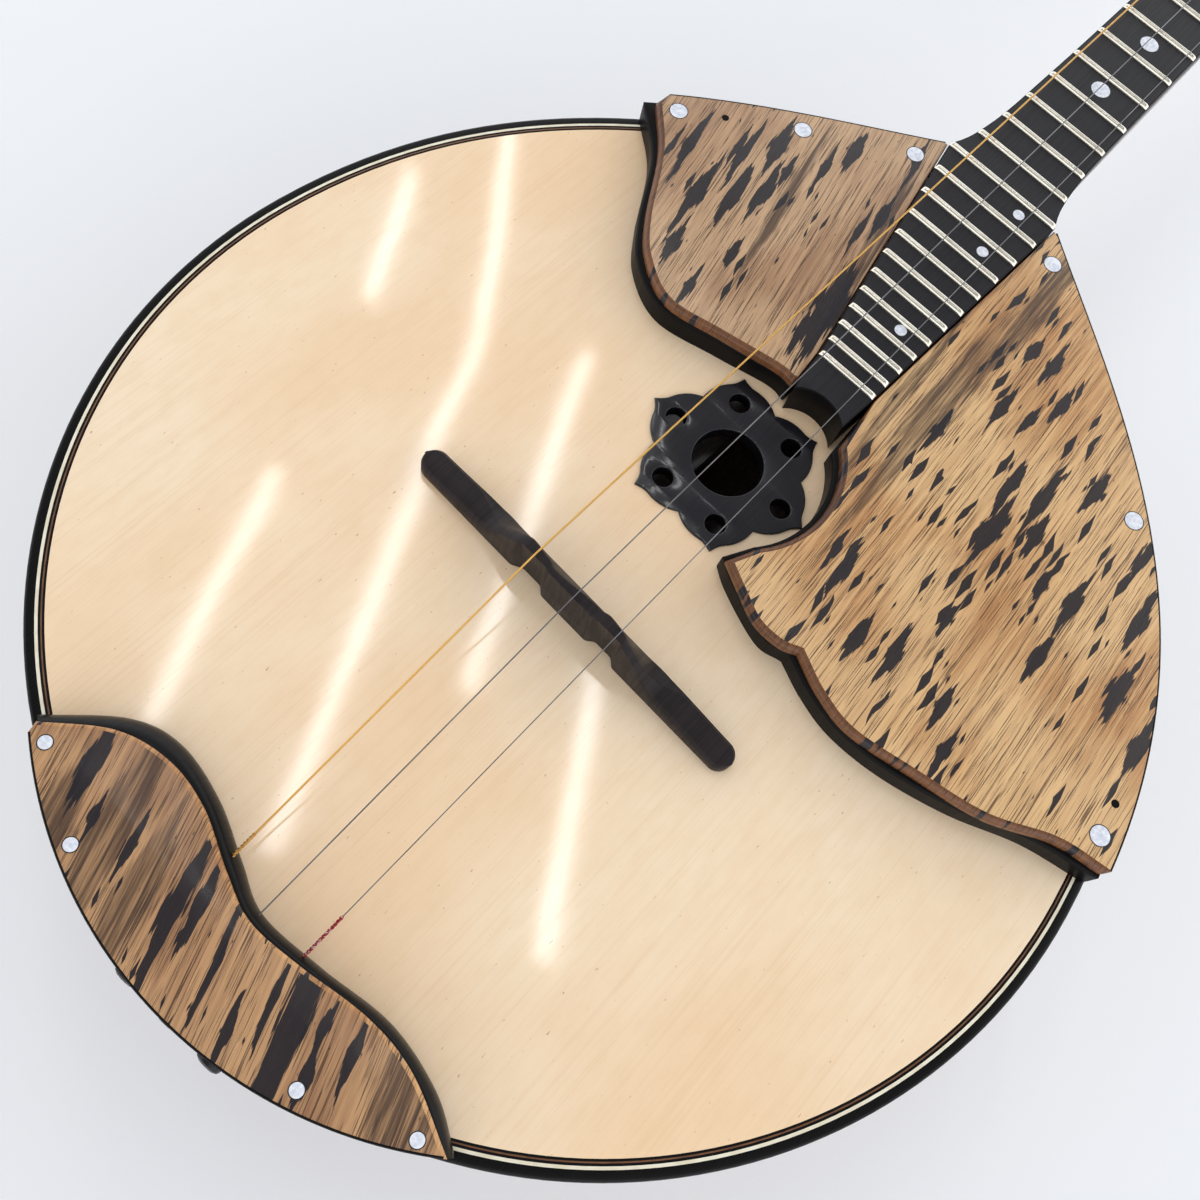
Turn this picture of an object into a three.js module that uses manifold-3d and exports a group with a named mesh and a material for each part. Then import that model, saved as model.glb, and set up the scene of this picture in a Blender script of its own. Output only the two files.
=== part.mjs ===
// A small three-string domra: bowl back, flat top, raised wooden guards, floating bridge, 27 frets
// and three worm-gear tuners. Millimetres, +Z out of the soundboard, +Y towards the head,
// +X the treble side.
//
// Everything is modelled about the bridge: y = 0 under its crest, z = 0 on the top of the
// soundboard. The exported group then moves the origin to the flat of the bowl's centre rib.
import * as THREE from 'three';
import { mergeVertices } from 'three/addons/utils/BufferGeometryUtils.js';
import Module from 'manifold-3d';

const wasm = await Module();
wasm.setup();

// ---------------------------------------------------------------- driving dimensions
const SCALE_LENGTH = 400;
const NUT_Y = 403.8;
const FRET_COUNT = 27;

const BODY_RADIUS = 121.4;
const BODY_CENTRE_Y = 14;
const BODY_DEPTH = 98;
const SHOULDER_ANGLE = 6.5;              // degrees above the widest line where the circle ends
const SHOULDER_HANDLE = 75;              // Bezier handle length on the circle's side
const JOINT_HANDLE = 49;                 // Bezier handle length on the neck's side
const JOINT_SLOPE = 37;                  // degrees, the outline's angle where it meets the neck
const JOINT_HALF_WIDTH = 18;
const JOINT_Y = 162.8;
const HEEL_DEPTH = 36;

const TOP_THICKNESS = 3;
const RIB_COUNT = 9;
const RIB_THICKNESS = 2.5;
const RIB_END_ANGLE = -78;               // degrees round the outline where the ribs stop
const GLUE_GAP = 0.3;

const BINDING_WIDTH = 2.3;
const WHITE_LINE_WIDTH = 0.65;
const INNER_LINE_WIDTH = 1.3;

const GUARD_BASE_TOP = 6.2;
const GUARD_TOP = 8.7;
const GUARD_OVERHANG = 0.4;
const TAIL_COVER_RADIUS = 96.3;
const TAIL_COVER_CENTRE_Y = -14.1;

const BOARD_BOTTOM = 4.2;
const BOARD_TOP = 9.6;
const FRET_HEIGHT = 0.9;
const FRET_WIDTH = 1.7;
const NUT_HALF_WIDTH = 11.75;
const NUT_DEPTH = 4;
const NUT_TOP = 11;

const ROSETTE_CENTRE = new THREE.Vector2(0.3, 54.6);
const ROSETTE_THICKNESS = 0.6;
const ROSETTE_RADIUS = 22.8;
const SOUND_HOLE_RADIUS = 8.6;
const SMALL_HOLE_RADIUS = 2.5;
const SMALL_HOLE_CIRCLE = 16.2;
const PETAL_COUNT = 6;

const BRIDGE_HALF_LENGTH = 47.5;
const BRIDGE_HEIGHT = 14.6;
const BRIDGE_WIDTH = 6.4;
const BRIDGE_CREST_WIDTH = 1.9;
const BRIDGE_WING_HEIGHT = 4.6;
const BRIDGE_CENTRE = { x: -0.5, y: 2.4 };
const BRIDGE_TURN = -2.9;                // degrees, the bass end sits nearer the neck

const STRINGS = [
  { name: 'bass', side: -1, radius: 0.24 },
  { name: 'middle', side: 0, radius: 0.15 },
  { name: 'treble', side: 1, radius: 0.12 },
];
const STRING_SPACING_TAIL = 11.5;
const STRING_SPACING_BRIDGE = 12;
const STRING_SPACING_NUT = 9.2;
const SADDLE_TOP = 1;
const PIN_Z = -10;

const HEAD_START_Y = 408.7;
const HEAD_START_Z = 3.6;
const HEAD_TILT = 12;                    // degrees back from the fingerboard's plane
const HEAD_LENGTH = 118;
const HEAD_THICKNESS = 12;
const VENEER_THICKNESS = 1.2;
const PLATE_THICKNESS = 1.2;

const WHEEL_TEETH = 15;
const GEAR_MODULE = 0.65;
const WHEEL_THICKNESS = 2.8;
const WORM_PITCH_RADIUS = 2.5;
const TUNER_X = -7;
const TUNER_FIRST_Y = 30;
const TUNER_PITCH = 28;
const POST_RADIUS = 3;
const RUNNING_GAP = 0.3;

const WHEEL_PITCH_RADIUS = WHEEL_TEETH * GEAR_MODULE / 2;
const WORM_LEAD = Math.PI * GEAR_MODULE;
const WORM_DISTANCE = WHEEL_PITCH_RADIUS + WORM_PITCH_RADIUS;
const PLATE_BACK = -HEAD_THICKNESS - PLATE_THICKNESS;
const WORM_BEHIND_PLATE = 3.6;
const WORM_Z = PLATE_BACK - WORM_BEHIND_PLATE;

// ---------------------------------------------------------------- small helpers
const radians = THREE.MathUtils.degToRad;
const v2 = (x, y) => new THREE.Vector2(x, y);
const v3 = (x, y, z) => new THREE.Vector3(x, y, z);
const mirrorX = (point) => v2(-point.x, point.y);

function smooth(points, divisions) {
  return new THREE.SplineCurve(points.map(([x, y]) => v2(x, y))).getPoints(divisions);
}

function arcPoints(centreX, centreY, radius, fromDegrees, toDegrees, steps) {
  return Array.from({ length: steps + 1 }, (_, i) => {
    const angle = radians(fromDegrees + (toDegrees - fromDegrees) * i / steps);
    return v2(centreX + radius * Math.cos(angle), centreY + radius * Math.sin(angle));
  });
}

// An upright prism of a plan outline, from one height to another.
function prism(points, bottom, top, holes = []) {
  const shape = new THREE.Shape(points);
  shape.holes = holes.map((hole) => new THREE.Path(hole));
  const geometry = new THREE.ExtrudeGeometry(shape, { depth: top - bottom, bevelEnabled: false });
  return geometry.translate(0, 0, bottom);
}

function block(fromX, toX, fromY, toY, fromZ, toZ) {
  const geometry = new THREE.BoxGeometry(toX - fromX, toY - fromY, toZ - fromZ);
  return geometry.translate((fromX + toX) / 2, (fromY + toY) / 2, (fromZ + toZ) / 2);
}

// A round bar along one axis, centred on a point.
function bar(axis, radius, length, centre, sides = 12) {
  const geometry = new THREE.CylinderGeometry(radius, radius, length, sides);
  if (axis === 'x') geometry.rotateZ(-Math.PI / 2);
  if (axis === 'z') geometry.rotateX(Math.PI / 2);
  return geometry.translate(centre.x, centre.y, centre.z);
}

function onlyPositions(geometry) {
  const bare = geometry.clone();
  bare.deleteAttribute('normal');
  bare.deleteAttribute('uv');
  return mergeVertices(bare, 1e-4);
}

function signedVolume(positions, triangles) {
  const corner = (index) => v3(...positions.slice(index * 3, index * 3 + 3));
  let sum = 0;
  for (let i = 0; i < triangles.length; i += 3) {
    const [a, b, c] = [corner(triangles[i]), corner(triangles[i + 1]), corner(triangles[i + 2])];
    sum += a.dot(b.cross(c));
  }
  return sum / 6;
}

function meshGeometry(positions, triangles) {
  const facesOut = signedVolume(positions, triangles) > 0;
  const order = facesOut ? triangles : [...triangles].reverse();
  const geometry = new THREE.BufferGeometry();
  geometry.setAttribute('position', new THREE.Float32BufferAttribute(positions, 3));
  geometry.setIndex(order);
  return geometry;
}

function flatten(section) {
  const normal = v3(0, 0, 0);
  section.forEach((point, i) => {
    normal.add(point.clone().cross(section[(i + 1) % section.length]));
  });
  const across = section[1].clone().sub(section[0]).normalize();
  const up = normal.normalize().clone().cross(across);
  return section.map((point) => v2(point.dot(across), point.dot(up)));
}

// A solid skin over a row of closed sections with equal numbers of corners.
function loft(sections) {
  const corners = sections[0].length;
  const positions = sections.flat().flatMap((point) => [point.x, point.y, point.z]);
  const triangles = [];
  for (let s = 0; s < sections.length - 1; s += 1) {
    for (let c = 0; c < corners; c += 1) {
      const a = s * corners + c;
      const b = s * corners + (c + 1) % corners;
      triangles.push(a, b, b + corners, a, b + corners, a + corners);
    }
  }
  const last = (sections.length - 1) * corners;
  for (const [i, j, k] of THREE.ShapeUtils.triangulateShape(flatten(sections[0]), [])) {
    triangles.push(k, j, i);
  }
  for (const [i, j, k] of THREE.ShapeUtils.triangulateShape(flatten(sections.at(-1)), [])) {
    triangles.push(last + i, last + j, last + k);
  }
  return meshGeometry(positions, triangles);
}

function solid(geometry) {
  const bare = onlyPositions(geometry);
  return new wasm.Manifold(new wasm.Mesh({
    numProp: 3,
    vertProperties: new Float32Array(bare.attributes.position.array),
    triVerts: new Uint32Array(bare.index.array),
  }));
}

function geometryOf(manifold) {
  const { vertProperties, triVerts } = manifold.getMesh();
  const geometry = new THREE.BufferGeometry();
  geometry.setAttribute('position', new THREE.Float32BufferAttribute(vertProperties, 3));
  geometry.setIndex([...triVerts]);
  return geometry;
}

function combine(first, { add = [], subtract = [], intersect = [] }) {
  let result = solid(first);
  add.forEach((piece) => { result = result.add(solid(piece)); });
  subtract.forEach((piece) => { result = result.subtract(solid(piece)); });
  intersect.forEach((piece) => { result = result.intersect(solid(piece)); });
  return geometryOf(result);
}

// ---------------------------------------------------------------- materials
const material = (color, roughness, metalness = 0) => (
  new THREE.MeshStandardMaterial({ color, roughness, metalness })
);
const MATERIALS = {
  spruce: material(0xf2dcb4, 0.15),
  ebony: material(0x2a282d, 0.4),
  pale_moon_ebony: material(0xc79b66, 0.35),
  rib_wood: material(0x7a4426, 0.2),
  neck_wood: material(0x6d3f24, 0.3),
  inside_wood: material(0xd8bb8c, 0.7),
  white_line: material(0xf0ead8, 0.4),
  bone: material(0xece4cf, 0.35),
  steel: material(0xc9c9cc, 0.25, 1),
  bronze: material(0xc79a4a, 0.3, 1),
  nickel: material(0xcfcdc6, 0.25, 1),
  brass: material(0xc9a45c, 0.35, 1),
};

const instrument = new THREE.Group();
const head = new THREE.Group();

function piece(name, geometry, look, parent = instrument) {
  const mesh = new THREE.Mesh(geometry, MATERIALS[look].clone());
  mesh.name = name;
  parent.add(mesh);
  return mesh;
}

// ---------------------------------------------------------------- the body's outline
// The treble half runs from the tail, round a circle, then along one Bezier to the neck joint.
const shoulderStart = radians(SHOULDER_ANGLE);
const shoulder = new THREE.CubicBezierCurve(
  v2(BODY_RADIUS * Math.cos(shoulderStart), BODY_CENTRE_Y + BODY_RADIUS * Math.sin(shoulderStart)),
  v2(
    BODY_RADIUS * Math.cos(shoulderStart) - SHOULDER_HANDLE * Math.sin(shoulderStart),
    BODY_CENTRE_Y + BODY_RADIUS * Math.sin(shoulderStart) + SHOULDER_HANDLE * Math.cos(shoulderStart),
  ),
  v2(
    JOINT_HALF_WIDTH + JOINT_HANDLE * Math.cos(radians(JOINT_SLOPE)),
    JOINT_Y - JOINT_HANDLE * Math.sin(radians(JOINT_SLOPE)),
  ),
  v2(JOINT_HALF_WIDTH, JOINT_Y),
);

function circleStation(degrees) {
  const angle = radians(degrees);
  const outward = v2(Math.cos(angle), Math.sin(angle));
  return {
    point: v2(BODY_RADIUS * outward.x, BODY_CENTRE_Y + BODY_RADIUS * outward.y),
    inward: outward.negate(),
    angle,
  };
}

function shoulderStation(t) {
  const along = shoulder.getTangent(t);
  return { point: shoulder.getPoint(t), inward: v2(-along.y, along.x), atJoint: t === 1 };
}

// The angles include plus and minus SHOULDER_ANGLE, so the bowl has a level facet between them.
function halfOutline(firstAngle, arcSteps, shoulderSteps) {
  const stations = [];
  for (let i = 0; i < arcSteps; i += 1) {
    stations.push(circleStation(firstAngle + (-SHOULDER_ANGLE - firstAngle) * i / arcSteps));
  }
  stations.push(circleStation(-SHOULDER_ANGLE), circleStation(SHOULDER_ANGLE));
  for (let i = 1; i <= shoulderSteps; i += 1) {
    stations.push(shoulderStation(i / shoulderSteps));
  }
  return stations;
}

// At the neck joint the outline slides along the joint line instead of leaving it.
function insetPoint(station, inset) {
  if (station.atJoint) {
    return v2(station.point.x - inset / Math.abs(station.inward.x), station.point.y);
  }
  return station.point.clone().addScaledVector(station.inward, inset);
}

const OUTLINE = halfOutline(-90, 13, 9);

// From the bass side of the neck joint, round the tail, to the treble side of the joint.
function sideToSide(inset) {
  const treble = OUTLINE.map((station) => insetPoint(station, inset));
  return [...treble.slice(1).reverse().map(mirrorX), ...treble];
}

function shoulderParameterAt(y) {
  let low = 0;
  let high = 1;
  for (let i = 0; i < 40; i += 1) {
    const middle = (low + high) / 2;
    if (shoulder.getPoint(middle).y < y) low = middle;
    else high = middle;
  }
  return (low + high) / 2;
}

// The treble shoulder from one height up the body to the neck joint.
function shoulderPoints(fromY, overhang, steps) {
  const first = shoulderParameterAt(fromY);
  return Array.from({ length: steps + 1 }, (_, i) => (
    insetPoint(shoulderStation(first + (1 - first) * i / steps), -overhang)
  ));
}

function halfWidthAt(y) {
  if (y > shoulder.v0.y) return shoulder.getPoint(shoulderParameterAt(y)).x;
  return Math.sqrt(BODY_RADIUS ** 2 - (y - BODY_CENTRE_Y) ** 2);
}

// ---------------------------------------------------------------- the bowl
const RIB_ANGLE = Math.PI / RIB_COUNT;
const CENTRE_RIB_EDGE = Math.sin(Math.PI / 2 - RIB_ANGLE / 2);
const RIM_TO_FLAT = (BODY_DEPTH - TOP_THICKNESS) / CENTRE_RIB_EDGE;
const FULL_DEPTH = RIM_TO_FLAT / Math.cos(shoulderStart);

function bowlDepth(station, inset, y) {
  if (station.angle !== undefined) return (FULL_DEPTH - inset) * Math.cos(station.angle);
  const run = JOINT_Y - shoulder.v0.y;
  const turn = Math.PI / 2 * (y - shoulder.v0.y) / run;
  const drop = RIM_TO_FLAT - HEEL_DEPTH;
  const slope = drop * Math.sin(turn) * Math.PI / 2 / run;
  return HEEL_DEPTH + drop * Math.cos(turn) - inset * Math.hypot(1, slope);
}

// A point of the bowl: across is 0 at the treble rim and pi at the bass rim.
function bowlPoint(station, across, inset) {
  const plan = insetPoint(station, inset);
  const depth = bowlDepth(station, inset, plan.y);
  return v3(plan.x * Math.cos(across), plan.y, -TOP_THICKNESS - depth * Math.sin(across));
}

function shortened(a, b, gap) {
  const share = gap / 2 / a.distanceTo(b);
  return [a.clone().lerp(b, share), b.clone().lerp(a, share)];
}

const RIB_STATIONS = halfOutline(RIB_END_ANGLE, 7, 7);

for (let rib = 0; rib < RIB_COUNT; rib += 1) {
  const sections = RIB_STATIONS.map((station) => {
    const [from, to] = [rib * RIB_ANGLE, (rib + 1) * RIB_ANGLE];
    const outside = shortened(bowlPoint(station, from, 0), bowlPoint(station, to, 0), GLUE_GAP);
    const inside = shortened(
      bowlPoint(station, from, RIB_THICKNESS),
      bowlPoint(station, to, RIB_THICKNESS),
      GLUE_GAP,
    );
    return [outside[0], outside[1], inside[1], inside[0]];
  });
  piece(`bowl_rib_${rib + 1}`, loft(sections), 'rib_wood');
}

// ---------------------------------------------------------------- tail end: cap, block and pins
const PIN_XS = STRINGS.map((string) => string.side * STRING_SPACING_TAIL);
const PIN_HOLE_RADIUS = 2;
const PIN_HOLE_LENGTH = 40;
const TAIL_CAP_ANGLES = [RIB_END_ANGLE - 0.9, -82.3, -85.3, -88];
const TAIL_BLOCK = { halfWidth: 22, depth: 16, front: -88, back: -104.4 };
const TAIL_SADDLE = { halfWidth: 16, back: -106.2, front: -103.4 };

function pinHoles() {
  return PIN_XS.map((x) => bar('y', PIN_HOLE_RADIUS, PIN_HOLE_LENGTH, v3(x, -100, PIN_Z)));
}

function tailCap() {
  const sections = TAIL_CAP_ANGLES.map((degrees) => (
    Array.from({ length: RIB_COUNT + 1 }, (_, i) => bowlPoint(circleStation(degrees), i * RIB_ANGLE, 0))
  ));
  return combine(loft(sections), { subtract: pinHoles() });
}
piece('tail_cap', tailCap(), 'ebony');

function tailBlock() {
  const { halfWidth, depth, front, back } = TAIL_BLOCK;
  const section = (y) => Array.from({ length: RIB_COUNT + 1 }, (_, i) => (
    v3(halfWidth * Math.cos(i * RIB_ANGLE), y, -TOP_THICKNESS - depth * Math.sin(i * RIB_ANGLE))
  ));
  return combine(loft([section(back), section(front)]), { subtract: pinHoles() });
}
piece('tail_block', tailBlock(), 'inside_wood');

function tailPin() {
  const profile = [
    [0, -94], [1.7, -94], [1.7, -107.6], [1.3, -108], [1.3, -109.4], [2.7, -110], [2.9, -111.2],
    [2.2, -112.2], [0, -112.4],
  ];
  const turned = new THREE.LatheGeometry(profile.map(([radius, y]) => v2(radius, -y)), 10);
  return turned.rotateX(Math.PI);
}
STRINGS.forEach((string, i) => {
  const pin = piece(`tail_pin_${string.name}`, tailPin(), 'ebony');
  pin.position.set(PIN_XS[i], 0, PIN_Z);
});

function tailSaddle() {
  const { halfWidth, back, front } = TAIL_SADDLE;
  return block(-halfWidth, halfWidth, back, front, 0, SADDLE_TOP);
}
piece('tail_saddle', tailSaddle(), 'ebony');

// ---------------------------------------------------------------- inside the body
const NECK_BLOCK_ENDS = [
  { y: 136, halfWidth: 32, depth: 34 },
  { y: JOINT_Y - 0.4, halfWidth: 9, depth: 27 },
];
const NECK_BLOCK_TAPER = 0.7;            // its bottom is this share of its top's width

function neckBlock() {
  return loft(NECK_BLOCK_ENDS.map(({ y, halfWidth, depth }) => [
    v3(-halfWidth, y, -TOP_THICKNESS),
    v3(halfWidth, y, -TOP_THICKNESS),
    v3(halfWidth * NECK_BLOCK_TAPER, y, -depth),
    v3(-halfWidth * NECK_BLOCK_TAPER, y, -depth),
  ]));
}
piece('neck_block', neckBlock(), 'inside_wood');

const LINING_HEIGHT = 8;
const LINING_WIDTH = 5;
const LINING_ENDS = { tail: -95, neck: 132 };

// The strip between rib and soundboard leans with the first rib's inner face.
function lining(side) {
  const stations = RIB_STATIONS.filter(({ point }) => (
    point.y > LINING_ENDS.tail && point.y < LINING_ENDS.neck
  ));
  const sections = stations.map((station) => {
    const rim = bowlPoint(station, 0, RIB_THICKNESS);
    const seam = bowlPoint(station, RIB_ANGLE, RIB_THICKNESS);
    const share = LINING_HEIGHT / (rim.z - seam.z);
    const lean = v3((seam.x - rim.x) * share, 0, -LINING_HEIGHT);
    const inward = v3(station.inward.x, station.inward.y, 0);
    const top = rim.clone().addScaledVector(inward, GLUE_GAP);
    const bottom = top.clone().add(lean);
    return [
      top,
      bottom,
      bottom.clone().addScaledVector(inward, LINING_WIDTH / 2),
      top.clone().addScaledVector(inward, LINING_WIDTH),
    ].map((point) => v3(point.x * side, point.y, point.z));
  });
  return loft(sections);
}
piece('lining_treble', lining(1), 'inside_wood');
piece('lining_bass', lining(-1), 'inside_wood');

const BRACE_WIDTH = 7;
const BRACE_HEIGHT = 10;
const BRACE_END_HEIGHT = 4;
const BRACE_TAPER_LENGTH = 18;
const BRACE_TO_RIM = 14;
const BRACES = { tail: -48, middle: 26, neck: 84 };

function brace(y) {
  const half = halfWidthAt(y) - BRACE_TO_RIM;
  const full = half - BRACE_TAPER_LENGTH;
  const profile = [
    v2(-half, 0), v2(half, 0), v2(half, -BRACE_END_HEIGHT), v2(full, -BRACE_HEIGHT),
    v2(-full, -BRACE_HEIGHT), v2(-half, -BRACE_END_HEIGHT),
  ];
  const upright = prism(profile, 0, BRACE_WIDTH).rotateX(Math.PI / 2);
  return upright.translate(0, y + BRACE_WIDTH / 2, -TOP_THICKNESS);
}
Object.entries(BRACES).forEach(([name, y]) => piece(`brace_${name}`, brace(y), 'inside_wood'));

// ---------------------------------------------------------------- soundboard, rosette, edge lines
const PETAL_STEP = 360 / PETAL_COUNT;

function roundHoles() {
  const { x, y } = ROSETTE_CENTRE;
  const holes = [arcPoints(x, y, SOUND_HOLE_RADIUS, 0, 340, 17)];
  for (let petal = 0; petal < PETAL_COUNT; petal += 1) {
    const angle = radians(petal * PETAL_STEP);
    const centre = v2(x + SMALL_HOLE_CIRCLE * Math.cos(angle), y + SMALL_HOLE_CIRCLE * Math.sin(angle));
    holes.push(arcPoints(centre.x, centre.y, SMALL_HOLE_RADIUS, 0, 315, 7));
  }
  return holes;
}

// Each petal is a round lobe with a small ogee point at its middle.
function petalRadius(degreesOffTip) {
  const [lobeCentre, lobeRadius] = [11.5, 9.7];
  const angle = radians(degreesOffTip);
  const lobe = lobeCentre * Math.cos(angle)
    + Math.sqrt(lobeRadius ** 2 - (lobeCentre * Math.sin(angle)) ** 2);
  const point = 1.6 * Math.max(0, 1 - Math.abs(degreesOffTip) / 8) ** 2;
  return lobe + point;
}

function rosetteOutline() {
  const steps = [-30, -22, -14, -8, -4, 0, 4, 8, 14, 22];
  const points = [];
  for (let petal = 0; petal < PETAL_COUNT; petal += 1) {
    for (const offset of steps) {
      const angle = radians(petal * PETAL_STEP + offset);
      const radius = petalRadius(offset);
      points.push(v2(
        ROSETTE_CENTRE.x + radius * Math.cos(angle),
        ROSETTE_CENTRE.y + radius * Math.sin(angle),
      ));
    }
  }
  return points;
}

function edgeRing(outerInset, width) {
  const outline = [...sideToSide(outerInset), ...sideToSide(outerInset + width).reverse()];
  return prism(outline, -TOP_THICKNESS, 0);
}

const WHITE_LINE_INSET = BINDING_WIDTH;
const INNER_LINE_INSET = WHITE_LINE_INSET + WHITE_LINE_WIDTH;
const SOUNDBOARD_INSET = INNER_LINE_INSET + INNER_LINE_WIDTH;

piece('binding', edgeRing(0, BINDING_WIDTH), 'ebony');
piece('purfling_white', edgeRing(WHITE_LINE_INSET, WHITE_LINE_WIDTH), 'white_line');
piece('purfling_black', edgeRing(INNER_LINE_INSET, INNER_LINE_WIDTH), 'ebony');
piece('soundboard', prism(sideToSide(SOUNDBOARD_INSET), -TOP_THICKNESS, 0, roundHoles()), 'spruce');
piece('rosette', prism(rosetteOutline(), 0, ROSETTE_THICKNESS, roundHoles()), 'ebony');

// ---------------------------------------------------------------- fingerboard, frets and riser
const FINGERBOARD_END = { x: 7.2, y: 69.5, radius: 9.4 };
const BOARD_BODY_HALF_WIDTH = 17.4;
const LAST_FRET_Y = 87.9;
const BOARD_LEFT_X = -1.9;               // the slanted sides' ends at the last fret
const BOARD_RIGHT_X = 15;

// The long side of the board from the nut down to the body, on the treble side.
function boardSide() {
  return [
    v2(NUT_HALF_WIDTH, NUT_Y),
    v2(12.5, 240),
    v2(13.4, 184),
    v2(14.2, 175),
    v2(15.4, 168),
    v2(BOARD_BODY_HALF_WIDTH, JOINT_Y - 0.3),
  ];
}

function fingerboardPlan() {
  const { x, y, radius } = FINGERBOARD_END;
  const endArc = arcPoints(x, y, radius, 140, 40, 6);
  return [
    ...boardSide().reverse(),
    ...boardSide().map(mirrorX),
    v2(BOARD_LEFT_X, LAST_FRET_Y),
    v2(-0.9, 79),
    ...endArc,
    v2(BOARD_RIGHT_X, LAST_FRET_Y),
  ];
}

const fretY = (number) => NUT_Y - SCALE_LENGTH + SCALE_LENGTH * 2 ** (-number / 12);

function fret(number) {
  const section = [
    v3(0, -FRET_WIDTH / 2, BOARD_TOP - 0.4), v3(0, FRET_WIDTH / 2, BOARD_TOP - 0.4),
    v3(0, FRET_WIDTH / 2, BOARD_TOP + FRET_HEIGHT / 2), v3(0, 0, BOARD_TOP + FRET_HEIGHT),
    v3(0, -FRET_WIDTH / 2, BOARD_TOP + FRET_HEIGHT / 2),
  ];
  const at = (x) => section.map((point) => v3(x, point.y + fretY(number), point.z));
  return loft([at(-20), at(20)]);
}

function fingerboard() {
  const frets = Array.from({ length: FRET_COUNT }, (_, i) => fret(i + 1));
  const envelope = prism(fingerboardPlan(), BOARD_BOTTOM - 1, BOARD_TOP + 2);
  return combine(prism(fingerboardPlan(), BOARD_BOTTOM, BOARD_TOP), { add: frets, intersect: [envelope] });
}
piece('fingerboard', fingerboard(), 'ebony');

function riser() {
  const onBody = fingerboardPlan().filter((point) => point.y < JOINT_Y);
  return prism(onBody, 0, BOARD_BOTTOM);
}
piece('fingerboard_riser', riser(), 'ebony');

// ---------------------------------------------------------------- guards and tail cover
const BASS_CORNER_Y = 115;
const TREBLE_CORNER_Y = 37.8;
const BOARD_GAP = 0.3;

// The bass guard lies between the shoulder, the board's slanted side and a wavy inner edge.
function bassGuard(innerEdge, cornerY, outwards) {
  const rim = shoulderPoints(cornerY, GUARD_OVERHANG - outwards, 7).map(mirrorX);
  return [
    ...rim.slice(0, -1),
    v2(-BOARD_BODY_HALF_WIDTH - BOARD_GAP, JOINT_Y - 0.3),
    v2(BOARD_LEFT_X - BOARD_GAP, LAST_FRET_Y),
    v2(-0.9 - BOARD_GAP, 79.2),
    ...smooth(innerEdge, 20),
  ];
}

const BASS_WOOD_EDGE = [
  [-1.6, 77.9], [-6.4, 78], [-21.3, 74.7], [-35.9, 71.9], [-47.2, 77.3], [-55, 86], [-65.5, 102.6],
  [-76, 113.6],
];
const BASS_BASE_EDGE = [
  [-1.4, 77.2], [-6.6, 77.6], [-20.5, 74], [-36.6, 70.6], [-49, 76], [-57.2, 85.6], [-67.5, 102],
  [-78.6, 111.6],
];
piece('guard_base_bass', prism(bassGuard(BASS_BASE_EDGE, 113, 0.8), 0, GUARD_BASE_TOP), 'ebony');
piece(
  'guard_bass',
  prism(bassGuard(BASS_WOOD_EDGE, BASS_CORNER_Y, 0), GUARD_BASE_TOP, GUARD_TOP),
  'pale_moon_ebony',
);

// The treble guard also hooks round the rosette, between a sharp corner and the board's end.
function trebleGuard(outerWave, innerWave, rosetteGap, cornerY, outwards) {
  const radius = ROSETTE_RADIUS + rosetteGap;
  const hook = arcPoints(ROSETTE_CENTRE.x, ROSETTE_CENTRE.y, radius, -38, 47, 8);
  return [
    ...shoulderPoints(cornerY, GUARD_OVERHANG - outwards, 12).slice(0, -1),
    v2(BOARD_BODY_HALF_WIDTH + BOARD_GAP, JOINT_Y - 0.3),
    v2(BOARD_RIGHT_X + BOARD_GAP, LAST_FRET_Y),
    ...hook.reverse(),
    ...smooth(innerWave, 8),
    ...smooth(outerWave, 14),
  ];
}

const TREBLE_WOOD_HOOK = [[17.2, 32.2], [23.7, 29], [30.6, 26], [37.3, 25.9], [41.6, 27.6]];
const TREBLE_WOOD_WAVE = [
  [42.4, 27.2], [50.7, 23.6], [60.7, 21.8], [75.6, 24.3], [92.6, 27.9], [107, 34.8], [118.4, 37],
];
const TREBLE_BASE_HOOK = [[15.2, 33.2], [19.6, 30.4], [28, 26.9], [34.5, 25.2], [39.4, 26.3]];
const TREBLE_BASE_WAVE = [
  [40.2, 26.4], [48.6, 23], [58.6, 20.9], [72, 21.8], [88, 25.9], [103.6, 32.2], [117.6, 35.4],
];
piece(
  'guard_base_treble',
  prism(trebleGuard(TREBLE_BASE_WAVE, TREBLE_BASE_HOOK, 0.6, 36, 0.8), 0, GUARD_BASE_TOP),
  'ebony',
);
piece(
  'guard_treble',
  prism(
    trebleGuard(TREBLE_WOOD_WAVE, TREBLE_WOOD_HOOK, 2.4, TREBLE_CORNER_Y, 0),
    GUARD_BASE_TOP,
    GUARD_TOP,
  ),
  'pale_moon_ebony',
);

const TAIL_WOOD_EDGE = [
  [55.8, -92.6], [41.1, -86.7], [28.4, -85.5], [12, -87.7], [0, -88.4], [-9.8, -85.2],
  [-21.8, -80.1], [-33, -78.6], [-44.5, -81.6], [-56, -90.6],
];
const TAIL_BASE_EDGE = [
  [57.2, -91.6], [46.6, -86], [32, -83.3], [15.2, -85.2], [0, -86], [-10.2, -82],
  [-22.7, -76.8], [-35.7, -74.7], [-46.6, -78.2], [-59.2, -89.6],
];
const STRING_SLOT_WIDTH = 3;
const MOULDING_WIDTH = 5;

// The cover's outer edge is a shallower arc than the body, so it overhangs at the very tail.
function tailCoverWood() {
  const half = Math.asin(55.2 / TAIL_COVER_RADIUS) * 180 / Math.PI;
  const rim = arcPoints(0, TAIL_COVER_CENTRE_Y, TAIL_COVER_RADIUS, -90 - half, -90 + half, 16);
  return prism([...rim, ...smooth(TAIL_WOOD_EDGE, 26)], GUARD_BASE_TOP, GUARD_TOP);
}

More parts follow.
